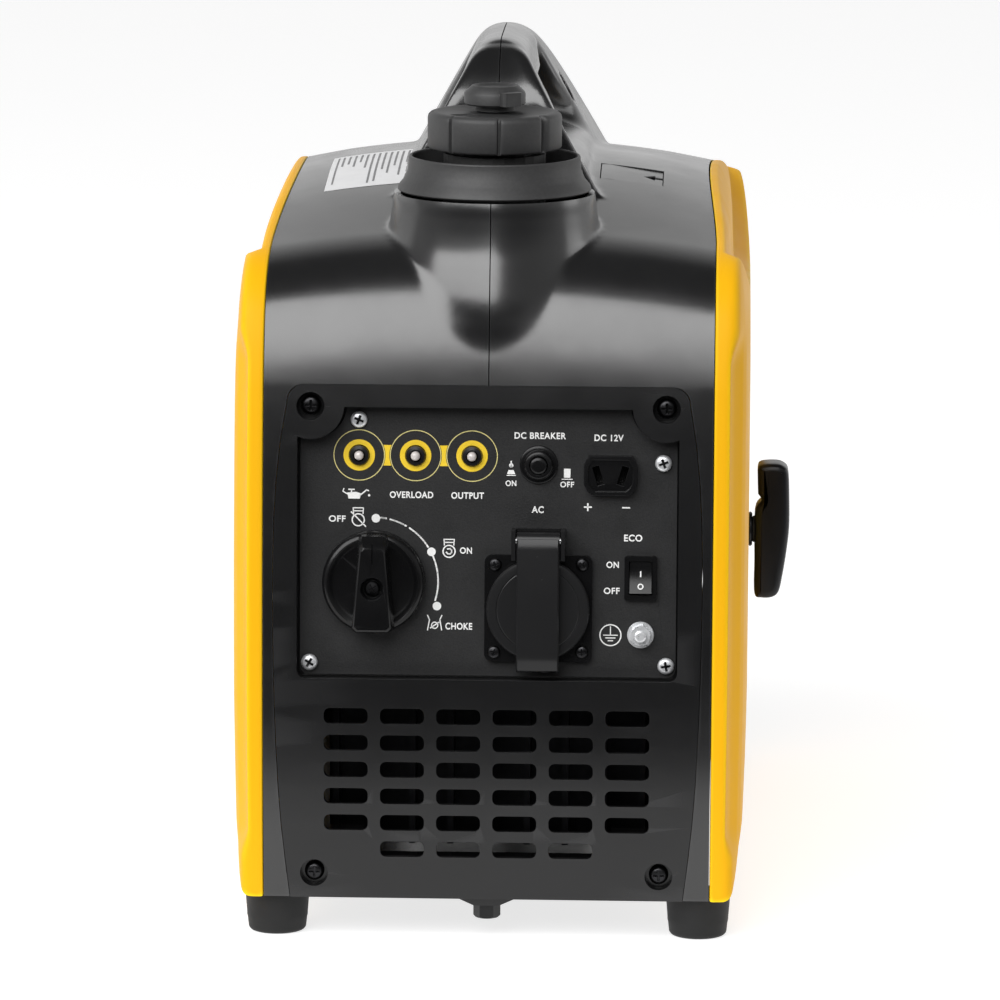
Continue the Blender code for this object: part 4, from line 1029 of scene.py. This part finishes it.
def screws():
    for number, (u, v) in enumerate(PLATE_SCREWS, 1):
        profile = ((0, -7), (1.8, -7), (1.8, GAP), (3.7, GAP), (3.9, 0.7), (3.8, 1.5), (3.3, 2.2),
                   (2.4, 2.6), (0, 2.75))
        screw = cut(turned(profile, u, v, "Z", 48), cross_cutter(u, v, "Z", 1.3, 4.0, 2.3, 0.6))
        turn_about(screw, u, v, 0.5 + 0.7 * number)
        # Painted shade: a thin black cross in the bottom of each zinc screw's cross recess stands in for the
        # shade there.
        recess = turn_about(cross_cutter(u, v, "Z", 1.32, 1.75, 2.26, 0.56), u, v, 0.5 + 0.7 * number)
        piece(on_plate(recess), "panel_screw_recess_%d" % number, "root", "black_steel")
        piece(on_plate(screw), "panel_screw_%d" % number, "root", "zinc_steel",
              ("plate_screw_%d" % number,), 0.12)
    for number, (x, z) in enumerate(COVER_SCREWS, 1):
        seat = surface_y(z) + 6 - GAP
        profile = ((0, seat + 9), (2.2, seat + 9), (2.2, seat), (4.6, seat), (4.5, seat - 1.4),
                   (3.9, seat - 2.6), (2.8, seat - 3.3), (0, seat - 3.5))
        screw = cut(turned(profile, x, z, "Y", 48),
                    cross_cutter(x, z, "Y", seat - 6.0, seat - 1.6, 2.5, 0.5))
        piece(screw, "bezel_screw_%d" % number, "root", "black_steel",
              ("cover_screw_%d" % number,), 0.12)


def control_plate():
    plate = prism(plate_outline(0), "Z", -PLATE_T, 0)
    cutters = [rod(u, v, 2.2, -5, 5, count=24) for u, v in PLATE_SCREWS]
    cutters += [rod(u, LED_UP, 4.9, -5, 5) for u in LED_ACROSS]
    for (u, v), radius in ((KNOB_AT, 5.0), (BREAKER_AT, 5.4), (AC_AT, 21.0), (GROUND_AT, 3.3)):
        cutters.append(rod(u, v, radius, -5, 5, count=56))
    cutters.append(prism(rounded(*DC_AT, 10.3, 7.8, 0.3, 2), "Z", -5, 5))
    cutters.append(prism(rounded(*ROCKER_AT, 6.3, 8.8, 0.3, 2), "Z", -5, 5))
    cut(plate, merged(cutters))
    piece(on_plate(plate), "control_panel", "root", "panel_grey", ("control_plate",), 0.25)


def lamps():
    for number, u in enumerate(LED_ACROSS, 1):
        profile = ((0, -6), (4.1, -6), (4.6, 0.3), (4.7, 1.2), (4.4, 1.9), (3.0, 2.2), (2.6, 1.5),
                   (2.5, 1.2), (0, 1.2))
        piece(on_plate(turned(profile, u, LED_UP, "Z", 48)), "lamp_holder_%d" % number, "root",
              "control_black")
        profile = ((2.2, 1.0), (2.2, 2.8), (2.05, 3.7), (1.55, 4.45), (0.8, 4.8), (0, 4.9), (0, 1.0))
        piece(on_plate(turned(profile, u, LED_UP, "Z", 40)), "lamp_lens_%d" % number, "root", "lamp_lens",
              ("lamp_%d" % number,))


def engine_knob():
    u, v = KNOB_AT
    profile = ((0, -14), (4.5, -14), (4.5, 0.5), (23.2, 0.5), (23.8, 0.9), (24, 1.6), (23.9, 6.2),
               (23.4, 7.6), (22.5, 8.6), (21.4, 9.0), (20.6, 8.8), (19.4, 7.6), (18.2, 7.2), (0, 7.2))
    knob = turned(profile, u, v, "Z", 128)
    rings = []
    for w, top_half, low_half, high, low in ((5, 7.0, 10.4, 22.8, -22.8), (9, 6.8, 10.0, 22.8, -22.8),
                                             (14, 6.5, 9.6, 22.4, -22.6),
                                             (17, 6.2, 9.3, 19.6, -22.2), (18.9, 5.8, 8.9, 17.8, -21.4),
                                             (19.5, 5.2, 8.2, 17.2, -20.6)):
        corner = 1.6
        outline = [(-low_half, low + corner), (-low_half + corner, low), (low_half - corner, low),
                   (low_half, low + corner), (top_half, high - corner), (top_half - corner, high),
                   (-top_half + corner, high),
                   (-top_half, high - corner)]
        rings.append([(u + a, v + b, w) for a, b in outline])
    bar = keep(loft(rings), rod(u, v, 23.3, 0, 30, count=128))
    cut(bar, turned(((0, 15), (4.6, 15), (5.0, 18.6), (5.8, 20), (0, 20)), u, v - 1.4, "Z", 64))
    cut(bar, box(u - 0.25, u + 0.25, v + 9.5, v + 24, 17.2, 24))
    join(knob, bar)
    screw = cut(turned(((0, 14), (3.6, 14), (3.6, 16.2), (2.8, 16.9), (0, 17.1)), u, v - 1.4, "Z", 40),
                cross_cutter(u, v - 1.4, "Z", 16.2, 18, 2.0, 0.4))
    piece(on_plate(turn_about(screw, u, v - 1.4, 0.5)), "knob_screw", "engine_knob", "black_steel")
    piece(on_plate(knob), "engine_control_knob", "engine_knob", "control_black", ("engine_knob",), 0.5)


def breaker():
    u, v = BREAKER_AT
    profile = ((0, -2.3), (5.0, -2.3), (5.0, GAP), (8.8, GAP), (9.0, 0.7), (8.8, 1.5), (8.3, 1.8),
               (6.9, 1.8), (6.6, 2.2), (6.5, 4.4), (6.2, 5.0), (5.6, 5.3), (0, 5.3))
    body = turned(profile, u, v, "Z", 72)
    join(body, box(u - 8, u + 8, v - 11, v + 11, -26, -2.3))
    cut(body, rod(u, v, 4.3, -9, 8, count=56))
    piece(on_plate(body), "dc_breaker_body", "root", "control_black", ("breaker_body",), 0.15)
    button = turned(((0, -8.5), (3.9, -8.5), (3.9, 5.4), (3.7, 6.1), (3.1, 6.5), (2.2, 6.6), (0, 6.4)),
                    u, v, "Z", 48)
    piece(on_plate(button), "dc_breaker_button", "breaker_button", "control_black",
          ("breaker_button",))


def dc_socket():
    u, v = DC_AT
    outline = [(u - 12.4, v - 4), (u - 10.6, v - 7.4), (u - 8.4, v - 9.2), (u + 8.4, v - 9.2),
               (u + 10.6, v - 7.4), (u + 12.4, v - 4), (u + 12.4, v + 5), (u + 10.2, v + 9.2),
               (u - 10.2, v + 9.2), (u - 12.4, v + 5)]
    inner = [(u + (a - u) * 0.84, v + (b - v) * 0.8) for a, b in outline]
    socket = prism(outline, "Z", GAP, 5)
    cut(socket, prism(inner, "Z", 4.2, 6))
    join(socket, box(u - 9.8, u + 9.8, v - 7.3, v + 7.3, -18, 1))
    for side in (-1, 1):
        slot = box(-1.6, 1.6, -4.5, 4.5, -9, 8)
        slot.data.transform(Matrix.Translation((u + side * 5.75, v, 0))
                            @ Matrix.Rotation(-side * 0.3, 4, "Z"))
        cut(socket, slot)
    piece(on_plate(socket), "dc_outlet", "root", "control_black", ("dc_socket",), 0.3)


def ac_socket():
    """Two-pole outlet on a square flange, its sprung round lid with a strap, and the pin."""
    u, v = AC_AT
    socket = prism(rounded(u, v, 25, 25, 3.5, 6), "Z", GAP, 3)
    join(socket, rod(u, v, 22.6, 2, 6, count=96), rod(u, v, 20.6, -18, 1, count=96))
    for side in (-1, 1):
        inner, outer = sorted((u + side * 10.5, u + side * 12.4))
        join(socket, box(inner, outer, -2, HINGE_UP + 5, GAP, HINGE_OUT + 3.5))
    join(socket, box(u - 12.4, u + 12.4, -3, HINGE_UP + 5, GAP, 3))
    cut(socket, rod(u, v, 19.8, -15, 8, count=96))
    cutters = [rod(u + side * 9.5, v, 2.5, -17.5, -14, count=32) for side in (-1, 1)]
    cut(socket, merged(cutters))
    cut(socket, rod(HINGE_UP, HINGE_OUT, 1.8, u - 15, u + 15, "X", 24))
    piece(on_plate(socket), "ac_outlet", "root", "control_black", ("ac_socket",), 0.3)
    for number, (su, sv) in enumerate(((-20.1, 20.3), (20.3, 20.7), (-20.5, -20.7), (20.4, -20.2)), 1):
        profile = ((0, 2.4), (3.0, 2.4), (3.0, 3.4), (2.5, 4.2), (1.4, 4.6), (0, 4.7))
        screw = cut(turned(profile, u + su, v + sv, "Z", 40),
                    cross_cutter(u + su, v + sv, "Z", 3.7, 6, 1.7, 0.35))
        turn_about(screw, u + su, v + sv, 0.4 * number)
        piece(on_plate(screw), "outlet_screw_%d" % number, "root", "black_steel", (), 0.1)

    profile = ((0, 6.4), (23.2, 6.4), (23.8, 6.7), (24, 7.3), (23.9, 8.6), (23.3, 9.3), (22.4, 9.5),
               (19.6, 9.5), (19.2, 9.2), (18.8, 9.5), (0, 9.5))
    lid = turned(profile, u, v, "Z", 128)
    join(lid, turned(((16.6, 2.5), (18.6, 2.5), (18.6, 7), (16.6, 7)), u, v, "Z", 96, True))
    strap = [(HINGE_UP + 2.2, 8.5), (HINGE_UP + 2.0, 10.8), (HINGE_UP + 1.0, 12.4), (HINGE_UP - 1, 13.2),
             (HINGE_UP - 4, 13.6), (v - 18, 13.9), (v - 22, 13.6), (v - 25.5, 12.9), (v - 28, 11.6),
             (v - 29, 9.8), (v - 29, 7),
             (HINGE_UP - 9, 7)]
    rings = [[(x, b, c - drop) for b, c in strap] for x, drop in
             ((u - 9.9, 0.9), (u - 9.2, 0.0), (u + 9.2, 0.0), (u + 9.9, 0.9))]
    bar = loft(rings)
    join(lid, bar)
    join(lid, rod(HINGE_UP, HINGE_OUT, 3.9, u - 9.9, u + 9.9, "X", 48))
    cut(lid, rod(HINGE_UP, HINGE_OUT, 1.8, u - 15, u + 15, "X", 24))
    piece(on_plate(lid), "ac_outlet_lid", "ac_lid", "control_black", ("ac_lid",), 0.35)
    piece(on_plate(rod(HINGE_UP, HINGE_OUT, 1.5, u - 12.4, u + 12.4, "X", 40)), "ac_lid_pin", "root",
          "machined_steel", ("lid_pin",))


def rocker_switch():
    u, v = ROCKER_AT
    bezel = prism(rounded(u, v, 7.5, 10.5, 1.2, 5), "Z", GAP, 2.4)
    join(bezel, box(u - 6, u + 6, v - 8.5, v + 8.5, -14, 1))
    cut(bezel, box(u - 5.4, u + 5.4, v - 8.0, v + 8.0, -8, 5))
    piece(on_plate(bezel), "eco_switch_bezel", "root", "control_black", ("rocker_bezel",), 0.3)
    profile = [(-7.2, -1.5), (-7.5, 2.4), (-5, 1.95), (-2.5, 1.68), (0, 1.6), (2.5, 1.68), (5, 1.95),
               (7.5, 2.4), (7.2, -1.5), (0, -4.5)]
    tilt = Matrix.Rotation(math.radians(-10), 2)
    points = [tilt @ Vector(point) for point in profile]
    rocker = prism([(v + p.x, p.y) for p in points], "X", u - 5.1, u + 5.1)
    piece(on_plate(rocker), "eco_switch_rocker", "rocker", "control_black", ("rocker",), 0.25)
    slant = Matrix.Translation((u, v, 0)) @ Matrix.Rotation(math.radians(-10), 4, "X")
    upright = box(-0.3, 0.3, 0.3, 3.0, 1.78, 1.86)
    ring = turned(((0.85, 1.98), (1.4, 1.98), (1.4, 2.12), (0.85, 2.12)), 0, -4.2, "Z", 32, True)
    marks = merged([upright, ring])
    marks.data.transform(slant)
    piece(on_plate(marks), "eco_switch_marks", "rocker", "print_white")


def ground_terminal():
    u, v = GROUND_AT
    stud = turned(((0, -9), (2.8, -9), (2.8, GAP), (6.0, GAP), (6.2, 0.5), (6.2, 1.4), (6.0, 1.6),
                   (0, 1.6)), u, v, "Z", 64)
    nut = prism(circle(u, v, 5.2, 6, 0.3), "Z", 1.4, 5.4)
    keep(nut, turned(((0, 1), (4.6, 1.3), (5.4, 2.0), (5.4, 4.7), (4.6, 5.4), (0, 5.5)), u, v, "Z", 48))
    thread = [(0, 4)]
    for i in range(8):
        thread += [(2.7, 4.2 + 0.5 * i), (2.4, 4.45 + 0.5 * i)]
    thread += [(2.0, 8.2), (0, 8.2)]
    join(stud, nut, turned(thread, u, v, "Z", 40))
    piece(on_plate(stud), "earth_terminal", "root", "zinc_steel", ("ground_terminal",), 0.15)


# ---------------------------------------------------------------- printing

PRINT_LIFT = 0.02
PRINT_T = 0.07
# Height of a capital letter as a share of the font size
CAPITAL_SHARE = 0.7


def lettering(text, u, v, height, width):
    """Generic word in plain capitals, fitted to a width."""
    curve = bpy.data.curves.new("lettering", "FONT")
    curve.body = text
    curve.size = height / CAPITAL_SHARE
    curve.space_character = 1.1
    curve.extrude = PRINT_T / 2
    curve.offset = 0.035 * height
    curve.align_x = "CENTER"
    curve.align_y = "CENTER"
    holder = bpy.data.objects.new("lettering", curve)
    bpy.context.scene.collection.objects.link(holder)
    depsgraph = bpy.context.evaluated_depsgraph_get()
    mesh = bpy.data.meshes.new_from_object(holder.evaluated_get(depsgraph))
    bpy.data.objects.remove(holder, do_unlink=True)
    reach = max(vert.co.x for vert in mesh.vertices) - min(vert.co.x for vert in mesh.vertices)
    fit = Matrix.Diagonal((width / reach, 1, 1, 1))
    mesh.transform(Matrix.Translation((u, v, PRINT_LIFT + PRINT_T / 2)) @ fit)
    return new_object(mesh)


def line(u0, v0, u1, v1, width=0.5):
    """Printed straight stroke."""
    along_line = Vector((u1 - u0, v1 - v0)).normalized() * width / 2
    across_line = Vector((-along_line.y, along_line.x))
    a, b = Vector((u0, v0)) - along_line, Vector((u1, v1)) + along_line
    corners = (a + across_line, a - across_line, b - across_line, b + across_line)
    return prism([tuple(c) for c in corners], "Z", PRINT_LIFT, PRINT_LIFT + PRINT_T)


def strokes(points, width=0.5):
    return [line(*a, *b, width) for a, b in zip(points, points[1:])]


def spot(u, v, radius):
    return rod(u, v, radius, PRINT_LIFT, PRINT_LIFT + PRINT_T, count=32)


def hoop(u, v, inner, outer):
    low, high = PRINT_LIFT, PRINT_LIFT + PRINT_T
    return turned(((inner, low), (outer, low), (outer, high), (inner, high)), u, v, "Z", 72, True)


def arc(u, v, radius, start, end, width=0.5, count=6):
    points = []
    for i in range(count + 1):
        angle = math.radians(start + (end - start) * i / count)
        points.append((u + radius * math.cos(angle), v + radius * math.sin(angle)))
    return strokes(points, width)


def filled(points):
    return prism(points, "Z", PRINT_LIFT, PRINT_LIFT + PRINT_T)


def shifted(points, u, v):
    return [(u + a, v + b) for a, b in points]


def oil_icon(u, v):
    can = filled(shifted(((-3.6, 0.6), (-3.0, -2.2), (2.2, -2.2), (3.0, 0.2), (0.4, 1.0)), u, v))
    return [can] + strokes(shifted(((2.4, -0.6), (5.4, 1.9), (6.2, 1.6)), u, v), 0.6) + [
        line(u - 1.6, v + 0.8, u - 1.6, v + 2.0, 0.6), line(u - 2.8, v + 2.1, u - 0.4, v + 2.1, 0.6),
        spot(u + 6.6, v - 0.6, 0.55)] + strokes(shifted(((-3.6, 0.0), (-5.6, 1.2), (-5.2, 2.4)), u, v), 0.5)


def engine_icon(u, v, struck):
    """Round crankcase under a finned barrel, struck through when it stands for off."""
    parts = [hoop(u, v - 1.0, 2.5, 3.1), line(u - 2.2, v + 2.0, u - 2.4, v + 4.6, 0.5),
             line(u + 2.2, v + 2.0, u + 2.4, v + 4.6, 0.5),
             line(u - 2.4, v + 4.6, u + 2.4, v + 4.6, 0.5), line(u - 2.2, v + 3.2, u + 2.2, v + 3.2, 0.5)]
    if struck:
        parts.append(line(u - 3.2, v + 2.6, u + 3.4, v - 4.0, 0.6))
    else:
        parts += arc(u, v - 1.0, 1.3, 200, 480, 0.6)
    return parts


def choke_icon(u, v):
    """Throttle bore with its plate across."""
    walls = strokes(shifted(((-3.3, 3.6), (-2.4, 1.6), (-3.3, -3.2)), u, v)) + strokes(
        shifted(((3.3, 3.6), (2.4, 1.6), (3.3, -3.2)), u, v))
    return walls + [hoop(u, v - 1.0, 1.2, 1.7), line(u - 1.9, v - 2.2, u + 1.9, v + 0.4, 0.6)]


def push_icon(u, v):
    return [filled(shifted(((-1.9, -1.9), (1.9, -1.9), (1.2, 0.0), (-1.2, 0.0)), u, v)),
            line(u - 2.0, v - 2.5, u + 2.0, v - 2.5, 0.4),
            spot(u, v + 2.2, 1.0), filled(shifted(((-0.5, 1.2), (0.5, 1.2), (0.4, 2.6), (-0.4, 2.6)), u, v)),
            line(u, v + 3.2, u, v + 4.0, 0.6)]


def block_icon(u, v):
    return [filled(shifted(((-1.5, -1.6), (1.5, -1.6), (1.5, 2.6), (-1.5, 2.6)), u, v)),
            line(u - 2.4, v - 2.3, u + 2.4, v - 2.3, 0.4)]


def ground_icon(u, v):
    return [hoop(u, v, 4.6, 5.15), line(u, v, u, v + 3.9, 0.45), line(u - 3.2, v, u + 3.2, v, 0.45),
            line(u - 2.1, v - 1.3, u + 2.1, v - 1.3, 0.5),
            line(u - 1.0, v - 2.6, u + 1.0, v - 2.6, 0.5)]


def panel_printing():
    words = (("OVERLOAD", -35.8, 26.7, 2.9, 20.2), ("OUTPUT", -9.8, 26.6, 2.9, 15.2),
             ("DC BREAKER", 23.6, 54.9, 2.9, 23.9), ("DC 12V", 55.5, 54.2, 2.9, 13.5),
             ("ON", 10.4, 32.6, 2.5, 5.0), ("OFF", 36.4, 32.3, 2.5, 6.4), ("AC", 23.0, 20.4, 3.0, 5.6),
             ("OFF", -70.3, 15.2, 2.8, 7.8), ("ON", -10.3, 0.9, 2.8, 5.6),
             ("CHOKE", -13.5, -34.6, 3.0, 12.5), ("ECO", 67.2, 7.6, 3.0, 8.4), ("ON", 57.9, -5.0, 2.8, 5.8),
             ("OFF", 57.5, -17.2, 2.8, 7.4))
    white = [lettering(*word) for word in words]
    white += oil_icon(-62.1, 27.0) + engine_icon(-60.5, 15.9, True) + engine_icon(-18.2, 1.6, False)
    white += choke_icon(-24.7, -33.1) + push_icon(10.4, 38.9) + block_icon(36.4, 37.2) + ground_icon(57.1,
                                                                                                     -37.8)
    white += [line(44.6, 22.0, 47.6, 22.0, 0.7), line(46.1, 20.5, 46.1, 23.5, 0.7),
              line(62.4, 21.9, 65.4, 21.9, 0.7)]
    white += [spot(-52.3, 15.7, 2.0), spot(-26.4, 0.3, 2.0), spot(-23.7, -25.1, 2.0)]
    u, v = KNOB_AT
    for start, end in ((84.0, 79.5), (75.5, 60.5), (56.5, 33), (23, -17)):
        white += arc(u, v, 29.8, start, end, 0.75, 8)
    piece(on_plate(merged(white)), "panel_printing", "root", "print_white")
    yellow = [hoop(lamp, LED_UP, 4.95, 7.3) for lamp in LED_ACROSS]
    outline = []
    for lamp in LED_ACROSS:
        outline.append(hoop(lamp, LED_UP, 11.55, 11.95))
    for left, right in zip(LED_ACROSS, LED_ACROSS[1:]):
        edge = [(math.sqrt(12.2 ** 2 - up ** 2), up) for up in np.linspace(-4.8, 4.8, 9)]
        yellow.append(filled([(left + a, LED_UP + up) for a, up in edge]
                             + [(right - a, LED_UP + up) for a, up in reversed(edge)]))
    piece(on_plate(merged(yellow)), "lamp_rings", "root", "print_yellow")
    piece(on_plate(merged(outline)), "lamp_outlines", "root", "print_ring")


def on_top(x0, x1, y0, y1, lift, across=6, along_count=24):
    """Thin film that follows the casing's top."""
    rings = []
    for height in (lift, lift + 0.08):
        points = []
        for i in range(across + 1):
            for j in range(along_count + 1):
                x, y = x0 + (x1 - x0) * i / across, y0 + (y1 - y0) * j / along_count
                z = top_z(x, y)
                points.append((float(draw_in(np.array(x), np.array(z))), y, z + height))
        rings.append(points)
    wide = along_count + 1
    total = len(rings[0])
    faces = []
    for i in range(across):
        for j in range(along_count):
            a, b, c, d = i * wide + j, (i + 1) * wide + j, (i + 1) * wide + j + 1, i * wide + j + 1
            faces.append((total + a, total + b, total + c, total + d))
            faces.append((d, c, b, a))
    border = [j for j in range(wide)] + [i * wide + along_count for i in range(1, across + 1)]
    border += [across * wide + j for j in range(along_count - 1, -1, -1)] + [i * wide
                                                                             for i in range(across - 1, 0,
                                                                                            -1)]
    for a, b in zip(border, border[1:] + border[:1]):
        faces.append((a, b, total + b, total + a))
    obj = surface(rings[0] + rings[1], faces)
    bm = bmesh.new()
    bm.from_mesh(obj.data)
    bpy.data.objects.remove(obj, do_unlink=True)
    return solid(bm)


def sticker():
    """Plain label on the top left, with bars where the lines of text are."""
    piece(on_top(-85, -43, -83, -2, 0.10), "top_label", "root", "label_film")
    ends = (-72, -34, -30, -38, -28, -44, -77, -75, -52, -61, -46, -67, -40)
    bars = []
    for i, end in enumerate(ends):
        x = -81.5 + 2.9 * i
        bars.append(on_top(x - 0.5, x + 0.5, end, -6.5, 0.19, 2, 16))
    piece(merged(bars), "top_label_lines", "root", "print_dark")


# ---------------------------------------------------------------- starter grip, lid and small trim

def drawn_in(outline, inset):
    """Closed outline moved inward by inset along its normals."""
    points = np.array(outline)
    tangent = np.roll(points, -1, 0) - np.roll(points, 1, 0)
    tangent /= np.linalg.norm(tangent, axis=1)[:, None]
    inward = np.stack((tangent[:, 1], -tangent[:, 0]), 1)
    if ((points - points.mean(0)) * inward).sum() > 0:
        inward = -inward
    return [tuple(p) for p in points + inset * inward]


ROPE_START, ROPE_LENGTH, ROPE_STEPS, ROPE_SIDES = 3, 129, 240, 20


def recoil():
    grip = curve_through(((125.4, 190), (125.4, 196.6), (127.2, 199.0), (134.3, 199.5), (138.3, 198.2),
                          (140.3, 194.8), (140.9, 183.7), (141, 168.5), (139.8, 156.2), (137.9, 143.8),
                          (136.2, 136.2), (133.2, 133.4), (128, 133), (124.4, 135.0), (124.2, 150),
                          (124.2, 175), (127.2, 181.2),
                          (125.6, 184.5)), 5)
    grip = [tuple(point) for point in grip]
    rings = []
    for inset, y in ((3.4, -53.5), (2.0, -53.3), (0.9, -52.6), (0.25, -51.4), (0.0, -49.8), (0.0, -38.2),
                     (0.25, -36.6), (0.9, -35.4), (2.0, -34.7), (3.4, -34.5)):
        rings.append([(a, y, b) for a, b in drawn_in(grip, inset)])
    piece(loft(rings), "starter_grip", "recoil_grip", "grip_black", ("recoil_grip",), sharp=50)
    boss = turned(((2.7, 122.6), (5.6, 122.6), (6.4, 123.4), (6.6, 124.4), (2.7, 124.4)), *ROPE_AT, "X", 48,
                  True)
    piece(boss, "grip_boss", "recoil_grip", "rubber_black")
    guide = turned(((3.4, 114), (6.0, 114), (6.0, 121.3), (7.8, 121.3), (8.5, 121.7), (8.4, 122.5),
                    (7.6, 123), (4.4, 123), (3.6, 122.4), (3.4, 121.5)), *ROPE_AT, "X", 64, True)
    piece(guide, "rope_eyelet", "root", "control_black", ("rope_guide",))
    rings = []
    for i in range(ROPE_STEPS + 1):
        x = ROPE_START + ROPE_LENGTH * i / ROPE_STEPS
        ring = []
        for k in range(ROPE_SIDES):
            angle = 2 * math.pi * k / ROPE_SIDES
            radius = 2.05 + 0.15 * math.cos(4 * (angle - 0.55 * x))
            ring.append((x, ROPE_AT[0] + radius * math.cos(angle), ROPE_AT[1] + radius * math.sin(angle)))
        rings.append(ring)
    rope = loft(rings)
    rope.data.transform(TO_ROW)
    rope.data.shade_smooth()
    rope.name = "pull_rope"
    rope.data.materials.append(MAT["rope_black"])
    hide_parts("starter_rope")
    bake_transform(rope)


def service_lid():
    lid = casing_solid(0, SHELL_HALF, steps=14)
    cut(lid, casing_solid(SKIN, SHELL_HALF + 2, CASE_BOTTOM - 10, steps=8))
    keep(lid, box(48, 78, -70, -38, 300, 360))
    cut(lid, prism(((69, -54), (74, -58.5), (74, -56), (79, -56), (79, -52), (74, -52), (74, -49.5)), "Z",
                   330, 360))
    piece(lid, "access_lid", "service_lid", "casing_black", ("service_lid",), 0.35)


def drain_plug():
    plug = prism(circle(0, -206, 6.4, 6), "Z", 9, 15.7)
    keep(plug, turned(((0, 9), (5.4, 9), (6.5, 9.9), (6.5, 15.7), (0, 15.7)), 0, -206, "Z", 48))
    piece(plug, "bottom_plug", "root", "control_black", ("drain_plug",), 0.2)


# ---------------------------------------------------------------- camera, light and floor

CAMERA_AT = Vector((111.4, -3222.0, 739.6))
CAMERA_LENS = 237.6
CAMERA_YAW, CAMERA_PITCH, CAMERA_ROLL = math.atan(0.0352), math.radians(10.0), math.radians(0.28)


def camera():
    """Long lens a little right of the middle, looking ten degrees down."""
    data = bpy.data.cameras.new("camera")
    data.sensor_width = 36
    data.lens = CAMERA_LENS
    data.clip_end = 50
    obj = bpy.data.objects.new("camera", data)
    bpy.context.scene.collection.objects.link(obj)
    yaw, pitch = CAMERA_YAW, CAMERA_PITCH
    forward = Vector((-math.sin(yaw) * math.cos(pitch), math.cos(yaw) * math.cos(pitch), -math.sin(pitch)))
    right = forward.cross(Vector((0, 0, 1))).normalized()
    up = right.cross(forward)
    at = TO_ROW @ CAMERA_AT
    matrix = Matrix(((right.x, up.x, -forward.x, at.x), (right.y, up.y, -forward.y, at.y),
                     (right.z, up.z, -forward.z, at.z), (0, 0, 0, 1)))
    obj.matrix_world = matrix @ Matrix.Rotation(CAMERA_ROLL, 4, "Z")
    bpy.context.scene.camera = obj


def area_light(name, place, target, width, height, power):
    data = bpy.data.lights.new(name, "AREA")
    data.shape = "RECTANGLE"
    data.size, data.size_y, data.energy = width, height, power
    obj = bpy.data.objects.new(name, data)
    bpy.context.scene.collection.objects.link(obj)
    obj.location = place
    obj.rotation_euler = (Vector(target) - Vector(place)).to_track_quat("-Z", "Y").to_euler()


# Surround brightness against the angle over the object: front horizon 0, zenith 90, back 180 degrees
SURROUND = ((-180, 0.30), (-95, 0.12), (-12, 0.02), (8, 0.06), (19, 0.35), (60, 0.37), (76, 0.06),
            (124, 0.05), (140, 0.45), (160, 1.0), (180, 1.0))
SIDE_GLOW = 0.22
BACKDROP = 0.94


def world_light():
    world = bpy.data.worlds.new("studio")
    bpy.context.scene.world = world
    world.use_nodes = True
    nodes, links = world.node_tree.nodes, world.node_tree.links

    def math_node(operation, first, second):
        node = nodes.new("ShaderNodeMath")
        node.operation = operation
        for value, socket in ((first, node.inputs[0]), (second, node.inputs[1])):
            if isinstance(value, (int, float)):
                socket.default_value = value
            else:
                links.new(value, socket)
        return node.outputs[0]

    split = nodes.new("ShaderNodeSeparateXYZ")
    links.new(nodes.new("ShaderNodeTexCoord").outputs["Generated"], split.inputs[0])
    x, y, z = split.outputs
    angle = math_node("ARCTAN2", z, math_node("MULTIPLY", y, -1.0))
    share = math_node("ADD", math_node("DIVIDE", angle, 2 * math.pi), 0.5)
    ramp = nodes.new("ShaderNodeValToRGB")
    elements = ramp.color_ramp.elements
    for _ in SURROUND[2:]:
        elements.new(0.5)
    for element, (degrees, value) in zip(elements, SURROUND):
        element.position = degrees / 360 + 0.5
    for element, (degrees, value) in zip(elements, SURROUND):
        element.color = (value, value, value, 1)
    links.new(share, ramp.inputs["Fac"])
    side = math_node("MULTIPLY", math_node("POWER", math_node("ABSOLUTE", x, 0.0), 4.0), SIDE_GLOW)
    glow = math_node("ADD", ramp.outputs["Color"], side)
    seen = nodes.new("ShaderNodeLightPath").outputs["Is Camera Ray"]
    mix = nodes.new("ShaderNodeMix")
    links.new(seen, mix.inputs["Factor"])
    links.new(glow, mix.inputs["A"])
    mix.inputs["B"].default_value = BACKDROP
    links.new(mix.outputs["Result"], nodes["Background"].inputs["Color"])


def studio():
    """Pale floor, dim surround and soft boxes: a wide one in front, a little left."""
    world_light()
    floor = prism(((-12, -0.5), (12, -0.5), (12, 14), (-12, 14)), "Z", -0.02, -0.0002)
    floor.name = "floor"
    tree = Tree("floor", (0.50, 0.50, 0.50), 0.8, specular=0.1)
    tree.tint(tree.ranged(tree.noise(400, 2), 0.0, 0.3), (0.48, 0.48, 0.48))
    tree.shader.inputs["Emission Color"].default_value = (1, 1, 1, 1)
    tree.shader.inputs["Emission Strength"].default_value = 0.74
    floor.data.materials.append(tree.material)
    area_light("front_box", (-1.16, -2.13, 2.13), (0, -0.15, 0.22), 3.9, 2.25, 142)
    area_light("left_box", (-2.6, 0.1, 1.1), (0, 0, 0.2), 1.2, 1.2, 1)
    area_light("right_box", (2.6, 0.3, 1.1), (0, 0, 0.2), 1.2, 1.2, 9)
    bpy.context.scene.view_settings.view_transform = "Standard"


def dress_frame():
    """Procedural materials on the CAD nodes that stay."""
    slots = {row["node"]: row["material_slot"] for row in frame["record"]["subparts"]}
    finishes = {"inverter_module": "anodised_black", "base_tray": "casing_black"}
    for name, obj in frame["nodes"].items():
        obj.data.materials.clear()
        obj.data.materials.append(MAT[finishes.get(name, slots[name])])


camera()
studio()
dress_frame()
shells()
front_cover()
rear_cover()
side_covers()
feet()
filler()
screws()
control_plate()
lamps()
engine_knob()
breaker()
dc_socket()
ac_socket()
rocker_switch()
ground_terminal()
panel_printing()
sticker()
recoil()
service_lid()
drain_plug()
